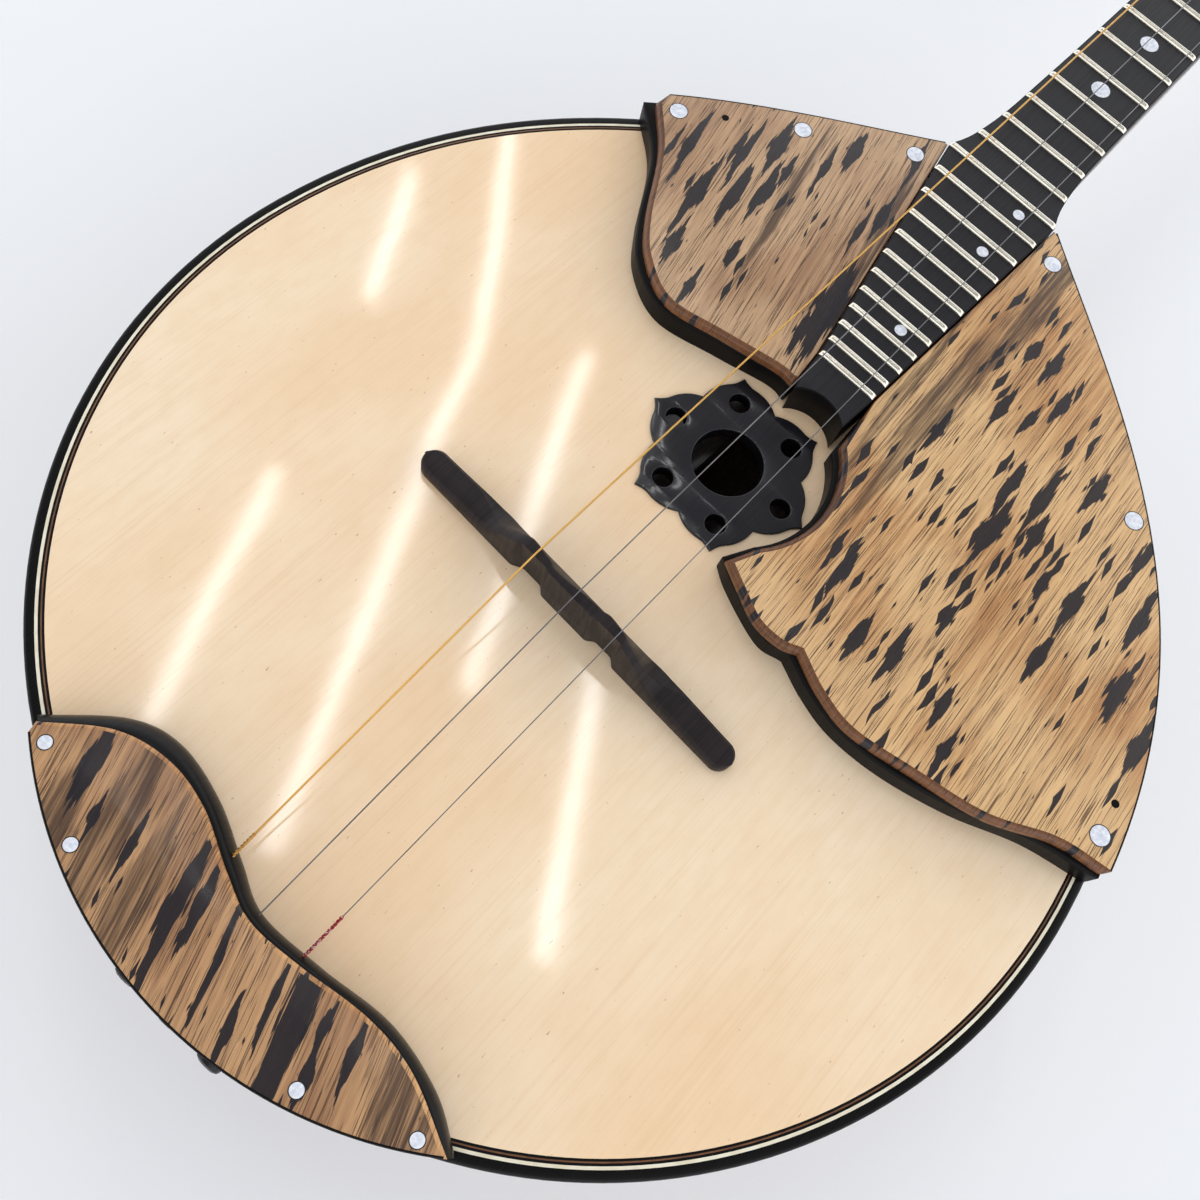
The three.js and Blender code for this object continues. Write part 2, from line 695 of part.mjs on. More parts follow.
// A raised frame: a front moulding slotted for the strings, hollow behind, open over the saddle.
function tailCoverBase() {
  const front = smooth(TAIL_BASE_EDGE, 24);
  const below = [v2(-120, -89.8), v2(-120, -140), v2(120, -140), v2(120, -91.8)];
  const disc = (radius) => arcPoints(0, BODY_CENTRE_Y, radius, -150, -30, 30);
  const outside = combine(prism([...below, ...front], 0, GUARD_BASE_TOP), {
    intersect: [prism(disc(BODY_RADIUS - BOARD_GAP), -1, GUARD_BASE_TOP + 1)],
  });
  const cavity = combine(
    prism([...below, ...front].map((point) => v2(point.x, point.y - MOULDING_WIDTH)), -1, GUARD_TOP),
    { intersect: [prism(disc(BODY_RADIUS - MOULDING_WIDTH), -1, GUARD_TOP)] },
  );
  const slots = PIN_XS.map((x) => (
    block(x - STRING_SLOT_WIDTH / 2, x + STRING_SLOT_WIDTH / 2, -96, -70, 2.8, 5.4)
  ));
  const behind = block(-18, 18, -115, -98, -1, GUARD_TOP);
  return combine(outside, { subtract: [cavity, behind, ...slots] });
}
piece('tail_cover_base', tailCoverBase(), 'ebony');
piece('tail_cover', tailCoverWood(), 'pale_moon_ebony');

// ---------------------------------------------------------------- bridge
// A low bar whose middle rises to a thin crest: upright towards the tail, sloping towards the neck.
function bridge() {
  const half = BRIDGE_HALF_LENGTH;
  const side = [
    [-half, 0], [half, 0], [half, 3.6], [40, BRIDGE_WING_HEIGHT], [26, 6.4], [19, 12.4],
    [16, BRIDGE_HEIGHT], [-16, BRIDGE_HEIGHT], [-19, 12.4], [-26, 6.4], [-40, BRIDGE_WING_HEIGHT],
    [-half, 3.6],
  ].map(([x, z]) => v2(x, z));
  const radius = BRIDGE_WIDTH / 2;
  const plan = [
    ...arcPoints(half - radius, 0, radius, -90, 90, 6),
    ...arcPoints(radius - half, 0, radius, 90, 270, 6),
  ];
  const across = [
    [-radius, 0], [radius, 0], [radius, BRIDGE_WING_HEIGHT],
    [BRIDGE_CREST_WIDTH - radius, BRIDGE_HEIGHT], [-radius, BRIDGE_HEIGHT],
  ];
  const wedge = loft([-half, half].map((x) => across.map(([y, z]) => v3(x, y, z))));
  const upright = prism(side, -BRIDGE_WIDTH, BRIDGE_WIDTH).rotateX(Math.PI / 2);
  const shaped = combine(upright, { intersect: [prism(plan, -1, BRIDGE_HEIGHT + 1), wedge] });
  return shaped.rotateZ(radians(BRIDGE_TURN)).translate(BRIDGE_CENTRE.x, BRIDGE_CENTRE.y, 0);
}
piece('bridge', bridge(), 'ebony');

// ---------------------------------------------------------------- neck and nut
const NECK_START_Y = JOINT_Y + 0.3;
const NECK_END_Y = HEAD_START_Y - 0.3;

function neckSection(y, halfWidth, bottom) {
  const shelf = Math.min(0, bottom + halfWidth);
  const round = Array.from({ length: 9 }, (_, i) => {
    const angle = Math.PI * i / 8;
    return v3(halfWidth * Math.cos(angle), y, shelf + (bottom - shelf) * Math.sin(angle));
  });
  return [v3(-halfWidth, y, BOARD_BOTTOM), v3(halfWidth, y, BOARD_BOTTOM), ...round];
}

function neck() {
  return loft([
    neckSection(NECK_START_Y, 17.4, -39),
    neckSection(168, 15.4, -35),
    neckSection(175, 14.2, -27),
    neckSection(184, 13.4, -19),
    neckSection(200, 13.1, -14.5),
    neckSection(300, 12.2, -11.5),
    neckSection(NUT_Y, NUT_HALF_WIDTH, -9),
    neckSection(NECK_END_Y, NUT_HALF_WIDTH, -9),
  ]);
}
piece('neck', neck(), 'neck_wood');

function nut() {
  const profile = [
    v2(NUT_Y + 0.1, BOARD_BOTTOM), v2(NUT_Y + NUT_DEPTH, BOARD_BOTTOM),
    v2(NUT_Y + NUT_DEPTH, NUT_TOP - 1.4), v2(NUT_Y + 0.8, NUT_TOP), v2(NUT_Y + 0.1, NUT_TOP),
  ];
  const sections = [-NUT_HALF_WIDTH, NUT_HALF_WIDTH].map((x) => profile.map((p) => v3(x, p.x, p.y)));
  return loft(sections);
}
piece('nut', nut(), 'bone');

// ---------------------------------------------------------------- headstock, in its own plane
head.position.set(0, HEAD_START_Y, HEAD_START_Z);
head.rotation.x = -radians(HEAD_TILT);
instrument.add(head);

const TUNER_YS = STRINGS.map((_, i) => TUNER_FIRST_Y + i * TUNER_PITCH);
const POST_HOLE_RADIUS = POST_RADIUS + RUNNING_GAP;
const postHoles = (bottom, top) => TUNER_YS.map((y) => (
  bar('z', POST_HOLE_RADIUS, top - bottom, v3(TUNER_X, y, (top + bottom) / 2))
));

function headOutline() {
  const treble = smooth([
    [12, 0], [13.4, 8], [19.5, 19], [21.6, 34], [21, 62], [22.6, 90], [23.6, 104], [15, 110.5],
    [7, 113.5], [0, HEAD_LENGTH],
  ], 22);
  return [...treble, ...treble.slice(0, -1).reverse().map(mirrorX)];
}

function headstock() {
  const slab = prism(headOutline(), -HEAD_THICKNESS, 0);
  const neckFace = block(-40, 40, -40, 0, -60, 40);
  neckFace.rotateX(radians(HEAD_TILT));
  return combine(slab, {
    subtract: [neckFace, ...postHoles(-HEAD_THICKNESS - 5, 5)],
  });
}
piece('headstock', headstock(), 'neck_wood', head);

function headVeneer() {
  const slab = prism(headOutline(), 0, VENEER_THICKNESS);
  const neckFace = block(-40, 40, -40, 0.6, -60, 40);
  return combine(slab, { subtract: [neckFace, ...postHoles(-5, 10)] });
}
piece('head_veneer', headVeneer(), 'ebony', head);

// ---------------------------------------------------------------- tuners
const EAR_OFFSET = 6.3;
const EAR_THICKNESS = 1.6;
const EAR_HALF_SIZE = 2.8;
const PLATE_HALF_WIDTH = 9;
const PLATE_PAST_POSTS = { neck: 16, end: 12 };
const SHAFT_RADIUS = 1.2;
const SHAFT_INNER_END = TUNER_X + 8;
const BUTTON_INNER_X = -27;

function tunerPlate() {
  const plate = block(
    TUNER_X - PLATE_HALF_WIDTH, TUNER_X + PLATE_HALF_WIDTH,
    TUNER_YS[0] - PLATE_PAST_POSTS.neck, TUNER_YS.at(-1) + PLATE_PAST_POSTS.end,
    PLATE_BACK, -HEAD_THICKNESS,
  );
  const ears = [];
  const holes = postHoles(PLATE_BACK - 5, 0);
  for (const y of TUNER_YS) {
    const wormY = y - WORM_DISTANCE;
    for (const offset of [-EAR_OFFSET, EAR_OFFSET]) {
      const x = TUNER_X + offset;
      ears.push(block(
        x - EAR_THICKNESS / 2, x + EAR_THICKNESS / 2,
        wormY - EAR_HALF_SIZE, wormY + EAR_HALF_SIZE, WORM_Z - EAR_HALF_SIZE, PLATE_BACK + 0.5,
      ));
    }
    holes.push(bar('x', SHAFT_RADIUS + RUNNING_GAP, 30, v3(TUNER_X, wormY, WORM_Z), 10));
  }
  return combine(plate, { add: ears, subtract: holes });
}
piece('tuner_plate', tunerPlate(), 'brass', head);

// A right-hand thread round the x axis: a trapezoid swept along the helix, sunk into the shaft.
function wormThread() {
  const [stepsPerTurn, reach] = [10, 3.3];
  const steps = Math.round(2 * reach / WORM_LEAD * stepsPerTurn);
  const [tip, foot] = [WORM_PITCH_RADIUS + 0.6, 1.4];
  const sections = Array.from({ length: steps + 1 }, (_, i) => {
    const turn = 2 * Math.PI * (i - steps / 2) / stepsPerTurn;
    const x = WORM_LEAD * turn / (2 * Math.PI);
    const corner = (offset, radius) => v3(x + offset, radius * Math.cos(turn), radius * Math.sin(turn));
    return [corner(-0.75, foot), corner(-0.18, tip), corner(0.18, tip), corner(0.75, foot)];
  });
  return loft(sections);
}

function wormShaft() {
  const core = bar('x', 1.7, 2 * (EAR_OFFSET - EAR_THICKNESS / 2 - RUNNING_GAP), v3(0, 0, 0), 12);
  const shaftFrom = BUTTON_INNER_X + RUNNING_GAP - TUNER_X;
  const shaftTo = SHAFT_INNER_END - TUNER_X;
  const shaft = bar('x', SHAFT_RADIUS, shaftTo - shaftFrom, v3((shaftFrom + shaftTo) / 2, 0, 0), 10);
  const endStop = bar('x', 2.2, 0.8, v3(shaftTo - 0.4, 0, 0), 10);
  return combine(core, { add: [wormThread(), shaft, endStop] });
}

// An oval button, thicker towards its outer end.
function tunerButton() {
  const stations = [
    [0, 2.4, 2.4], [2, 3, 2.8], [5, 6.2, 3.2], [9.5, 8.2, 3.4], [13, 6.6, 3], [14.6, 3.6, 1.9],
  ];
  const sides = 12;
  return loft(stations.map(([out, halfY, halfZ]) => (
    Array.from({ length: sides }, (_, i) => {
      const angle = 2 * Math.PI * i / sides;
      return v3(-out, halfY * Math.cos(angle), halfZ * Math.sin(angle));
    })
  )));
}

// Teeth lean by the worm's lead angle, and a gap faces the worm at the middle of the wheel.
function wormWheel() {
  const leanPerMm = WORM_LEAD / (2 * Math.PI * WORM_PITCH_RADIUS) / WHEEL_PITCH_RADIUS;
  const [tip, root] = [WHEEL_PITCH_RADIUS + 0.6, WHEEL_PITCH_RADIUS - 0.85];
  const toothTurn = 2 * Math.PI / WHEEL_TEETH;
  const section = (z) => {
    const points = [];
    for (let tooth = 0; tooth < WHEEL_TEETH; tooth += 1) {
      const middle = -Math.PI / 2 + (tooth + 0.5) * toothTurn + leanPerMm * z;
      for (const [halfWidth, radius] of [[-0.76, root], [-0.23, tip], [0.23, tip], [0.76, root]]) {
        const angle = middle + halfWidth / radius;
        points.push(v3(radius * Math.cos(angle), radius * Math.sin(angle), z));
      }
    }
    return points;
  };
  const halfThickness = WHEEL_THICKNESS / 2;
  return combine(loft([section(-halfThickness), section(halfThickness)]), {
    subtract: [bar('z', 2.3, 10, v3(0, 0, 0), 10)],
  });
}

const COIL_BOTTOM = 6.4;
const COIL_TOP = 9;
const COIL_RADIUS = 3.9;

// The post, with its axis up, seen from the wheel's middle (z = WORM_Z) to its rounded top.
function tunerPost() {
  const profile = [
    [0, WORM_Z - 2.4], [2, WORM_Z - 2.4], [2, WORM_Z + 1.7], [POST_RADIUS, WORM_Z + 1.7],
    [POST_RADIUS, 5], [2.5, 6.2], [2.5, 9.2], [POST_RADIUS, 10.4], [POST_RADIUS, 13.2], [2.2, 14], [0, 14],
  ].map(([radius, z]) => v2(radius, z));
  return new THREE.LatheGeometry(profile, 12).rotateX(Math.PI / 2);
}

function stringCoil() {
  const inner = 2.5 + RUNNING_GAP;
  const profile = [
    [inner, COIL_BOTTOM], [COIL_RADIUS, COIL_BOTTOM + 0.3], [COIL_RADIUS, COIL_TOP - 0.3],
    [inner, COIL_TOP], [inner, COIL_BOTTOM],
  ].map(([radius, z]) => v2(radius, z));
  return new THREE.LatheGeometry(profile, 12).rotateX(Math.PI / 2);
}

STRINGS.forEach((string, i) => {
  const wormY = TUNER_YS[i] - WORM_DISTANCE;
  piece(`worm_shaft_${string.name}`, wormShaft(), 'brass', head).position.set(TUNER_X, wormY, WORM_Z);
  piece(`button_${string.name}`, tunerButton(), 'bone', head).position.set(BUTTON_INNER_X, wormY, WORM_Z);
  piece(`worm_wheel_${string.name}`, wormWheel(), 'brass', head).position.set(TUNER_X, TUNER_YS[i], WORM_Z);
  piece(`post_${string.name}`, tunerPost(), 'nickel', head).position.set(TUNER_X, TUNER_YS[i], 0);
  const look = string.name === 'bass' ? 'bronze' : 'steel';
  piece(`string_coil_${string.name}`, stringCoil(), look, head).position.set(TUNER_X, TUNER_YS[i], 0);
});

// ---------------------------------------------------------------- strings
// Each runs from its pin over the saddle, bridge and nut, and ends beside the coil on its post.
function stringRoute({ side, radius }, tunerY) {
  const x = (spacing) => side * spacing;
  const onHead = (point) => point.applyAxisAngle(v3(1, 0, 0), head.rotation.x).add(head.position);
  const coilSide = TUNER_X + COIL_RADIUS + RUNNING_GAP + radius;
  const clear = radius + 0.15;
  const crestShift = (x(STRING_SPACING_BRIDGE) - BRIDGE_CENTRE.x) * Math.sin(radians(BRIDGE_TURN));
  const crestTail = BRIDGE_CENTRE.y - BRIDGE_WIDTH / 2 + crestShift;
  return [
    v3(x(STRING_SPACING_TAIL), -108.7, PIN_Z + 2.2),
    v3(x(STRING_SPACING_TAIL), -108.4, -0.6),
    v3(x(STRING_SPACING_TAIL), -106.6, SADDLE_TOP + clear),
    v3(x(STRING_SPACING_TAIL), -104.6, SADDLE_TOP + clear + 0.1),
    v3(x(STRING_SPACING_BRIDGE), crestTail - 0.5, BRIDGE_HEIGHT + clear),
    v3(x(STRING_SPACING_BRIDGE), crestTail + BRIDGE_CREST_WIDTH + 0.5, BRIDGE_HEIGHT + clear),
    v3(x(STRING_SPACING_NUT), NUT_Y, NUT_TOP + clear),
    v3(x(STRING_SPACING_NUT), NUT_Y + 1.2, NUT_TOP + clear),
    onHead(v3(coilSide, tunerY, (COIL_BOTTOM + COIL_TOP) / 2)),
  ];
}

function tube(route, radius, sides) {
  const sections = route.map((point, i) => {
    const before = route[Math.max(0, i - 1)];
    const after = route[Math.min(route.length - 1, i + 1)];
    const along = after.clone().sub(before).normalize();
    const across = v3(1, 0, 0).addScaledVector(along, -along.x).normalize();
    const up = along.clone().cross(across);
    return Array.from({ length: sides }, (_, s) => {
      const angle = 2 * Math.PI * s / sides;
      return point.clone()
        .addScaledVector(across, radius * Math.cos(angle))
        .addScaledVector(up, radius * Math.sin(angle));
    });
  });
  return loft(sections);
}

STRINGS.forEach((string, i) => {
  const look = string.name === 'bass' ? 'bronze' : 'steel';
  piece(`string_${string.name}`, tube(stringRoute(string, TUNER_YS[i]), string.radius, 6), look);
});

// ---------------------------------------------------------------- the exported part
instrument.position.set(0, -BODY_CENTRE_Y, BODY_DEPTH);
const domra = new THREE.Group();
domra.add(instrument);

export default domra;
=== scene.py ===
from math import asin, atan2, cos, degrees, hypot, pi, radians, sin, sqrt

import bmesh
import bpy
from mathutils import Matrix, Vector
from mathutils.geometry import tessellate_polygon


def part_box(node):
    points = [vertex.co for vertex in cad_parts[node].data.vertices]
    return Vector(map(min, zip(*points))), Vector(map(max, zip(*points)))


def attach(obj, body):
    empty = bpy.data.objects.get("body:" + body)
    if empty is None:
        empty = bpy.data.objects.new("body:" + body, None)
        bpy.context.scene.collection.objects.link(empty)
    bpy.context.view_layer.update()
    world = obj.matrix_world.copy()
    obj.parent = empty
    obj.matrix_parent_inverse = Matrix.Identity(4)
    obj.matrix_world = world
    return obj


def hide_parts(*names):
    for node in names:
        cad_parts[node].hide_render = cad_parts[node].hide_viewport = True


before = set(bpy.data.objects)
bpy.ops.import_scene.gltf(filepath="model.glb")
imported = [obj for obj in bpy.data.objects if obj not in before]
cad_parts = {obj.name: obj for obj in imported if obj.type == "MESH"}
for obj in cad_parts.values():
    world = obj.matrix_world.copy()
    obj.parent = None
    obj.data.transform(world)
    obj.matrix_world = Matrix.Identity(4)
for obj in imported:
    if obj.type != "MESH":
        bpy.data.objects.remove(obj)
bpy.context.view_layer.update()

MM = 0.001
BODY = "instrument"
# Each string's name, side and radius.
STRINGS = (("bass", -1, 0.24), ("middle", 0, 0.15), ("treble", 1, 0.12))

# ---------------------------------------------------------------- driving dimensions
BODY_RADIUS = 121.4
BODY_CENTRE_Y = 14.0
BODY_DEPTH = 98.0
SHOULDER_ANGLE = 6.5
SHOULDER_HANDLE = 75.0
JOINT_HANDLE = 49.0
JOINT_SLOPE = 37.0
JOINT_HALF_WIDTH = 18.0
JOINT_Y = 162.8
HEEL_DEPTH = 36.0
TOP_THICKNESS = 3.0
RIB_COUNT = 9
RIB_THICKNESS = 2.5
RIB_END_ANGLE = -78.0
SEAM_WIDTH = 0.9

BINDING = 2.3
WHITE_LINE = 0.65
INNER_LINE = 1.3
BROWN_LINE = 0.3

GUARD_BASE_TOP = 6.2
GUARD_TOP = 8.7
EDGE_LINE = 0.5
ROSETTE = (0.3, 54.6)
ROSETTE_TOP = 0.6
SOUND_HOLE = 8.6
SMALL_HOLE = 2.5
SMALL_HOLE_CIRCLE = 16.2
ROSETTE_RADIUS = 22.8

SCALE_LENGTH = 400.0
NUT_Y = 403.8
NUT_HALF_WIDTH = 11.75
NUT_TOP = 11.0
FRET_COUNT = 27
FRET_WIDTH = 1.7
FRET_HEIGHT = 0.9
BOARD_BOTTOM = 4.2
BOARD_TOP = 9.6
LAST_FRET_Y = 87.9
BOARD_GAP = 0.3

BRIDGE_HALF_LENGTH = 47.5
BRIDGE_HEIGHT = 14.6
BRIDGE_WIDTH = 6.4
BRIDGE_CREST = 1.9
BRIDGE_CENTRE = (-0.5, 2.4)
BRIDGE_TURN = -2.9

SPACING_TAIL = 11.5
SPACING_BRIDGE = 12.0
SPACING_NUT = 9.2
SADDLE_TOP = 1.0
PIN_Z = -10.0

HEAD_START = (0.0, 408.7, 3.6)
HEAD_TILT = 12.0
HEAD_LENGTH = 118.0
HEAD_THICKNESS = 12.0
VENEER = 1.2
PLATE = 1.2
TUNER_X = -7.0
BUTTON_X = -27.0
TUNER_YS = (30.0, 58.0, 86.0)
WHEEL_TEETH = 15
GEAR_MODULE = 0.65
WORM_PITCH_RADIUS = 2.5
WHEEL_PITCH_RADIUS = WHEEL_TEETH * GEAR_MODULE / 2
WORM_DISTANCE = WHEEL_PITCH_RADIUS + WORM_PITCH_RADIUS
PLATE_BACK = -HEAD_THICKNESS - PLATE
WORM_Z = PLATE_BACK - 3.6
WORM_LEAD = pi * GEAR_MODULE

TOP_OF_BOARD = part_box("soundboard")[1][2]
INSTRUMENT = Matrix.Translation((0, -BODY_CENTRE_Y * MM, TOP_OF_BOARD)) @ Matrix.Scale(MM, 4)
ON_HEAD = Matrix.Translation(HEAD_START) @ Matrix.Rotation(-radians(HEAD_TILT), 4, "X")
HEAD = INSTRUMENT @ ON_HEAD

# ---------------------------------------------------------------- camera, light and floor
CAMERA_PLACE = Vector((0.0364, -0.0988, 0.3453))
CAMERA_RIGHT = Vector((0.7285, 0.6683, 0.1508))
CAMERA_BACK = Vector((0.1283, -0.3493, 0.9282))
CAMERA_LENS = 36.56
CEILING = 1.5
TUBE_WIDTH = 0.022
TUBE_RADIANCE = 15
OVERHEAD = 0.32
HORIZON = 1.9
FLOOR_HALF = 3.0


def add_camera():
    camera = bpy.data.cameras.new("camera")
    camera.lens = CAMERA_LENS
    camera.sensor_width = 36
    camera.clip_start = 0.01
    holder = bpy.data.objects.new("camera", camera)
    back = CAMERA_BACK.normalized()
    up = back.cross(CAMERA_RIGHT).normalized()
    turn = Matrix((up.cross(back), up, back)).transposed()
    holder.matrix_world = Matrix.Translation(CAMERA_PLACE) @ turn.to_4x4()
    bpy.context.collection.objects.link(holder)
    bpy.context.scene.camera = holder


def area_light(name, place, target, size, power):
    light = bpy.data.lights.new(name, "AREA")
    light.shape = "RECTANGLE"
    light.size, light.size_y = size
    light.energy = power
    holder = bpy.data.objects.new(name, light)
    holder.location = place
    holder.rotation_euler = (Vector(target) - Vector(place)).to_track_quat("-Z", "Y").to_euler()
    bpy.context.collection.objects.link(holder)
    return holder


# A long thin lamp between two points of the ceiling, facing straight down.
def tube_light(name, start, end):
    middle = ((start[0] + end[0]) / 2, (start[1] + end[1]) / 2, CEILING)
    along = (end[0] - start[0], end[1] - start[1])
    power = pi * TUBE_WIDTH * hypot(*along) * TUBE_RADIANCE
    lamp = area_light(name, middle, (middle[0], middle[1], 0), (TUBE_WIDTH, hypot(*along)), power)
    lamp.rotation_euler = (0, 0, atan2(along[1], along[0]) - pi / 2)


TUBES = (
    ((-0.86, 1.03), (-0.62, 0.71)),
    ((-0.62, 0.71), (-0.26, -0.05)),
    ((-0.91, 0.85), (-0.78, 0.63)),
    ((-0.49, 0.82), (-0.23, 0.29)),
    ((-0.66, 0.33), (-0.50, -0.04)),
    ((-0.14, 0.46), (0.10, 0.10)),
)


def add_lights():
    for number, (start, end) in enumerate(TUBES):
        tube_light(f"tube_{number}", start, end)
    area_light("soft_front", (0.9, -0.7, 1.2), (0, 0.05, 0.05), (1.2, 1.2), 3)
    area_light("soft_side", (1.1, 0.9, 1.0), (0, 0.1, 0.05), (1.0, 1.0), 2.5)
    world = bpy.data.worlds.new("studio")
    world.use_nodes = True
    tree = world.node_tree
    direction = tree.nodes.new("ShaderNodeTexCoord")
    parts = tree.nodes.new("ShaderNodeSeparateXYZ")
    fade = tree.nodes.new("ShaderNodeMapRange")
    fade.inputs["From Min"].default_value = 0.35
    fade.inputs["From Max"].default_value = 0.75
    fade.inputs["To Min"].default_value = HORIZON
    fade.inputs["To Max"].default_value = OVERHEAD
    tree.links.new(direction.outputs["Generated"], parts.inputs["Vector"])
    tree.links.new(parts.outputs["Z"], fade.inputs["Value"])
    background = tree.nodes["Background"]
    background.inputs["Color"].default_value = (0.95, 0.97, 1.0, 1)
    tree.links.new(fade.outputs["Result"], background.inputs["Strength"])
    bpy.context.scene.world = world
    bpy.context.scene.view_settings.view_transform = "Standard"


# ---------------------------------------------------------------- node materials
class Look:
    """One procedural material. Its texture space is the row frame, in millimetres."""

    def __init__(self, name, roughness=0.4, metallic=0.0, coat=0.0, coat_roughness=0.06, specular=0.5):
        self.material = bpy.data.materials.new(name)
        self.material.use_nodes = True
        self.tree = self.material.node_tree
        self.shader = self.tree.nodes["Principled BSDF"]
        self.feed(self.shader, {
            "Roughness": roughness, "Metallic": metallic, "Coat Weight": coat,
            "Coat Roughness": coat_roughness, "Specular IOR Level": specular,
        })
        self.object_space = self.node("TexCoord").outputs["Object"]

    # Gives each named or numbered input a constant or a link.
    def feed(self, node, inputs):
        for key, value in inputs.items():
            if isinstance(value, bpy.types.NodeSocket):
                self.tree.links.new(value, node.inputs[key])
            else:
                node.inputs[key].default_value = value

    def node(self, kind, inputs=None, **settings):
        node = self.tree.nodes.new(f"ShaderNode{kind}")
        for key, value in settings.items():
            setattr(node, key, value)
        self.feed(node, inputs or {})
        return node

    # Millimetres along a grain turned anticlockwise from y, each axis counted in its own step.
    def space(self, stretch=(1, 1, 1), turn=0.0):
        turned = self.node("Mapping", {
            "Vector": self.object_space, "Rotation": (0, 0, -radians(turn)), "Scale": (1 / MM,) * 3,
        })
        steps = {"Vector": turned.outputs["Vector"], "Scale": tuple(1 / value for value in stretch)}
        return self.node("Mapping", steps).outputs["Vector"]

    def noise(self, vector, detail=3.0, roughness=0.5):
        inputs = {"Vector": vector, "Scale": 1.0, "Detail": detail, "Roughness": roughness}
        return self.node("TexNoise", inputs).outputs["Fac"]

    def math(self, operation, a, b=0.0):
        return self.node("Math", {0: a, 1: b}, operation=operation).outputs[0]

    def scaled(self, value, factor, start):
        return self.math("ADD", self.math("MULTIPLY", value, factor), start)

    # 0 below low and 1 above high, with a smooth step between.
    def step(self, value, low, high):
        inputs = {"Value": value, "From Min": low, "From Max": high}
        return self.node("MapRange", inputs, interpolation_type="SMOOTHSTEP").outputs["Result"]

    # The same space, pushed to and fro across the grain by a noise.
    def shifted(self, vector, noise, reach):
        push = self.node("CombineXYZ", {"X": self.scaled(noise, 2 * reach, -reach)}).outputs["Vector"]
        return self.node("VectorMath", {0: vector, 1: push}, operation="ADD").outputs["Vector"]

    # 0 in the middle of the nearest spindle and 1 on its edge.
    def nearest(self, place, spindles):
        least = None
        for across, along, half_width, half_length in spindles:
            away = self.node("VectorMath", {0: place, 1: (across, along, 0)}, operation="SUBTRACT")
            size = self.node("VectorMath", {0: away.outputs["Vector"]}, operation="ABSOLUTE")
            shares = {0: size.outputs["Vector"], 1: (1 / half_width, 1 / half_length, 0)}
            here = self.node("VectorMath", shares, operation="DOT_PRODUCT").outputs["Value"]
            least = here if least is None else self.math("MINIMUM", least, here)
        return least

    # The colour b laid over a, as far as the share says, times a strength.
    def mix(self, share, a, b, strength=1.0):
        if strength != 1.0:
            share = self.math("MULTIPLY", share, strength)
        return self.node("Mix", {"Factor": share, "A": a, "B": b}, data_type="RGBA").outputs["Result"]

    def color(self, value):
        self.feed(self.shader, {"Base Color": value})

    def bump(self, height, depth, socket="Normal"):
        node = self.node("Bump", {"Distance": depth * MM, "Height": height})
        self.feed(self.shader, {socket: node.outputs["Normal"]})


def rgb(red, green, blue):
    linear = [((v / 255 + 0.055) / 1.055) ** 2.4 for v in (red, green, blue)]
    return (*linear, 1.0)


def spruce():
    look = Look("spruce", roughness=0.45, coat=1.0, coat_roughness=0.072)
    grain = look.noise(look.space((0.5, 120, 20)), 2)
    broad = look.noise(look.space((60, 80, 40)), 2)
    mottle = look.noise(look.space((3, 9, 9)), 4, 0.6)
    fleck = look.noise(look.space((0.45, 1.6, 3)), 1, 0.5)
    base = look.mix(look.step(broad, 0.3, 0.7), rgb(247, 213, 172), rgb(252, 229, 197))
    base = look.mix(look.step(mottle, 0.35, 0.75), base, rgb(233, 194, 145), 0.22)
    lined = look.mix(look.step(grain, 0.45, 0.8), base, rgb(214, 168, 116), 0.16)
    look.color(look.mix(look.step(fleck, 0.76, 0.82), lined, rgb(150, 104, 62), 0.6))
    look.bump(grain, 0.01)
    look.bump(look.noise(look.space((34, 55, 40)), 1), 0.10, "Coat Normal")
    return look.material


def ebony(name, roughness=0.36, coat=0.0, tone=(30, 28, 33), specular=0.3):
    look = Look(name, roughness, 0.0, coat, 0.1, specular)
    grain = look.noise(look.space((0.6, 26, 6)), 3)
    base = look.mix(look.step(grain, 0.35, 0.7), rgb(*tone), rgb(*(v * 0.7 for v in tone)))
    pore = look.step(look.noise(look.space((0.35, 5, 1.5)), 2), 0.66, 0.74)
    look.color(look.mix(pore, base, rgb(14, 12, 13), 0.5))
    look.feed(look.shader, {"Roughness": look.scaled(grain, 0.2, roughness - 0.1)})
    look.bump(grain, 0.02 if coat else 0.03)
    if coat:
        look.bump(look.noise(look.space((9, 9, 9)), 1), 0.05, "Coat Normal")
    return look.material


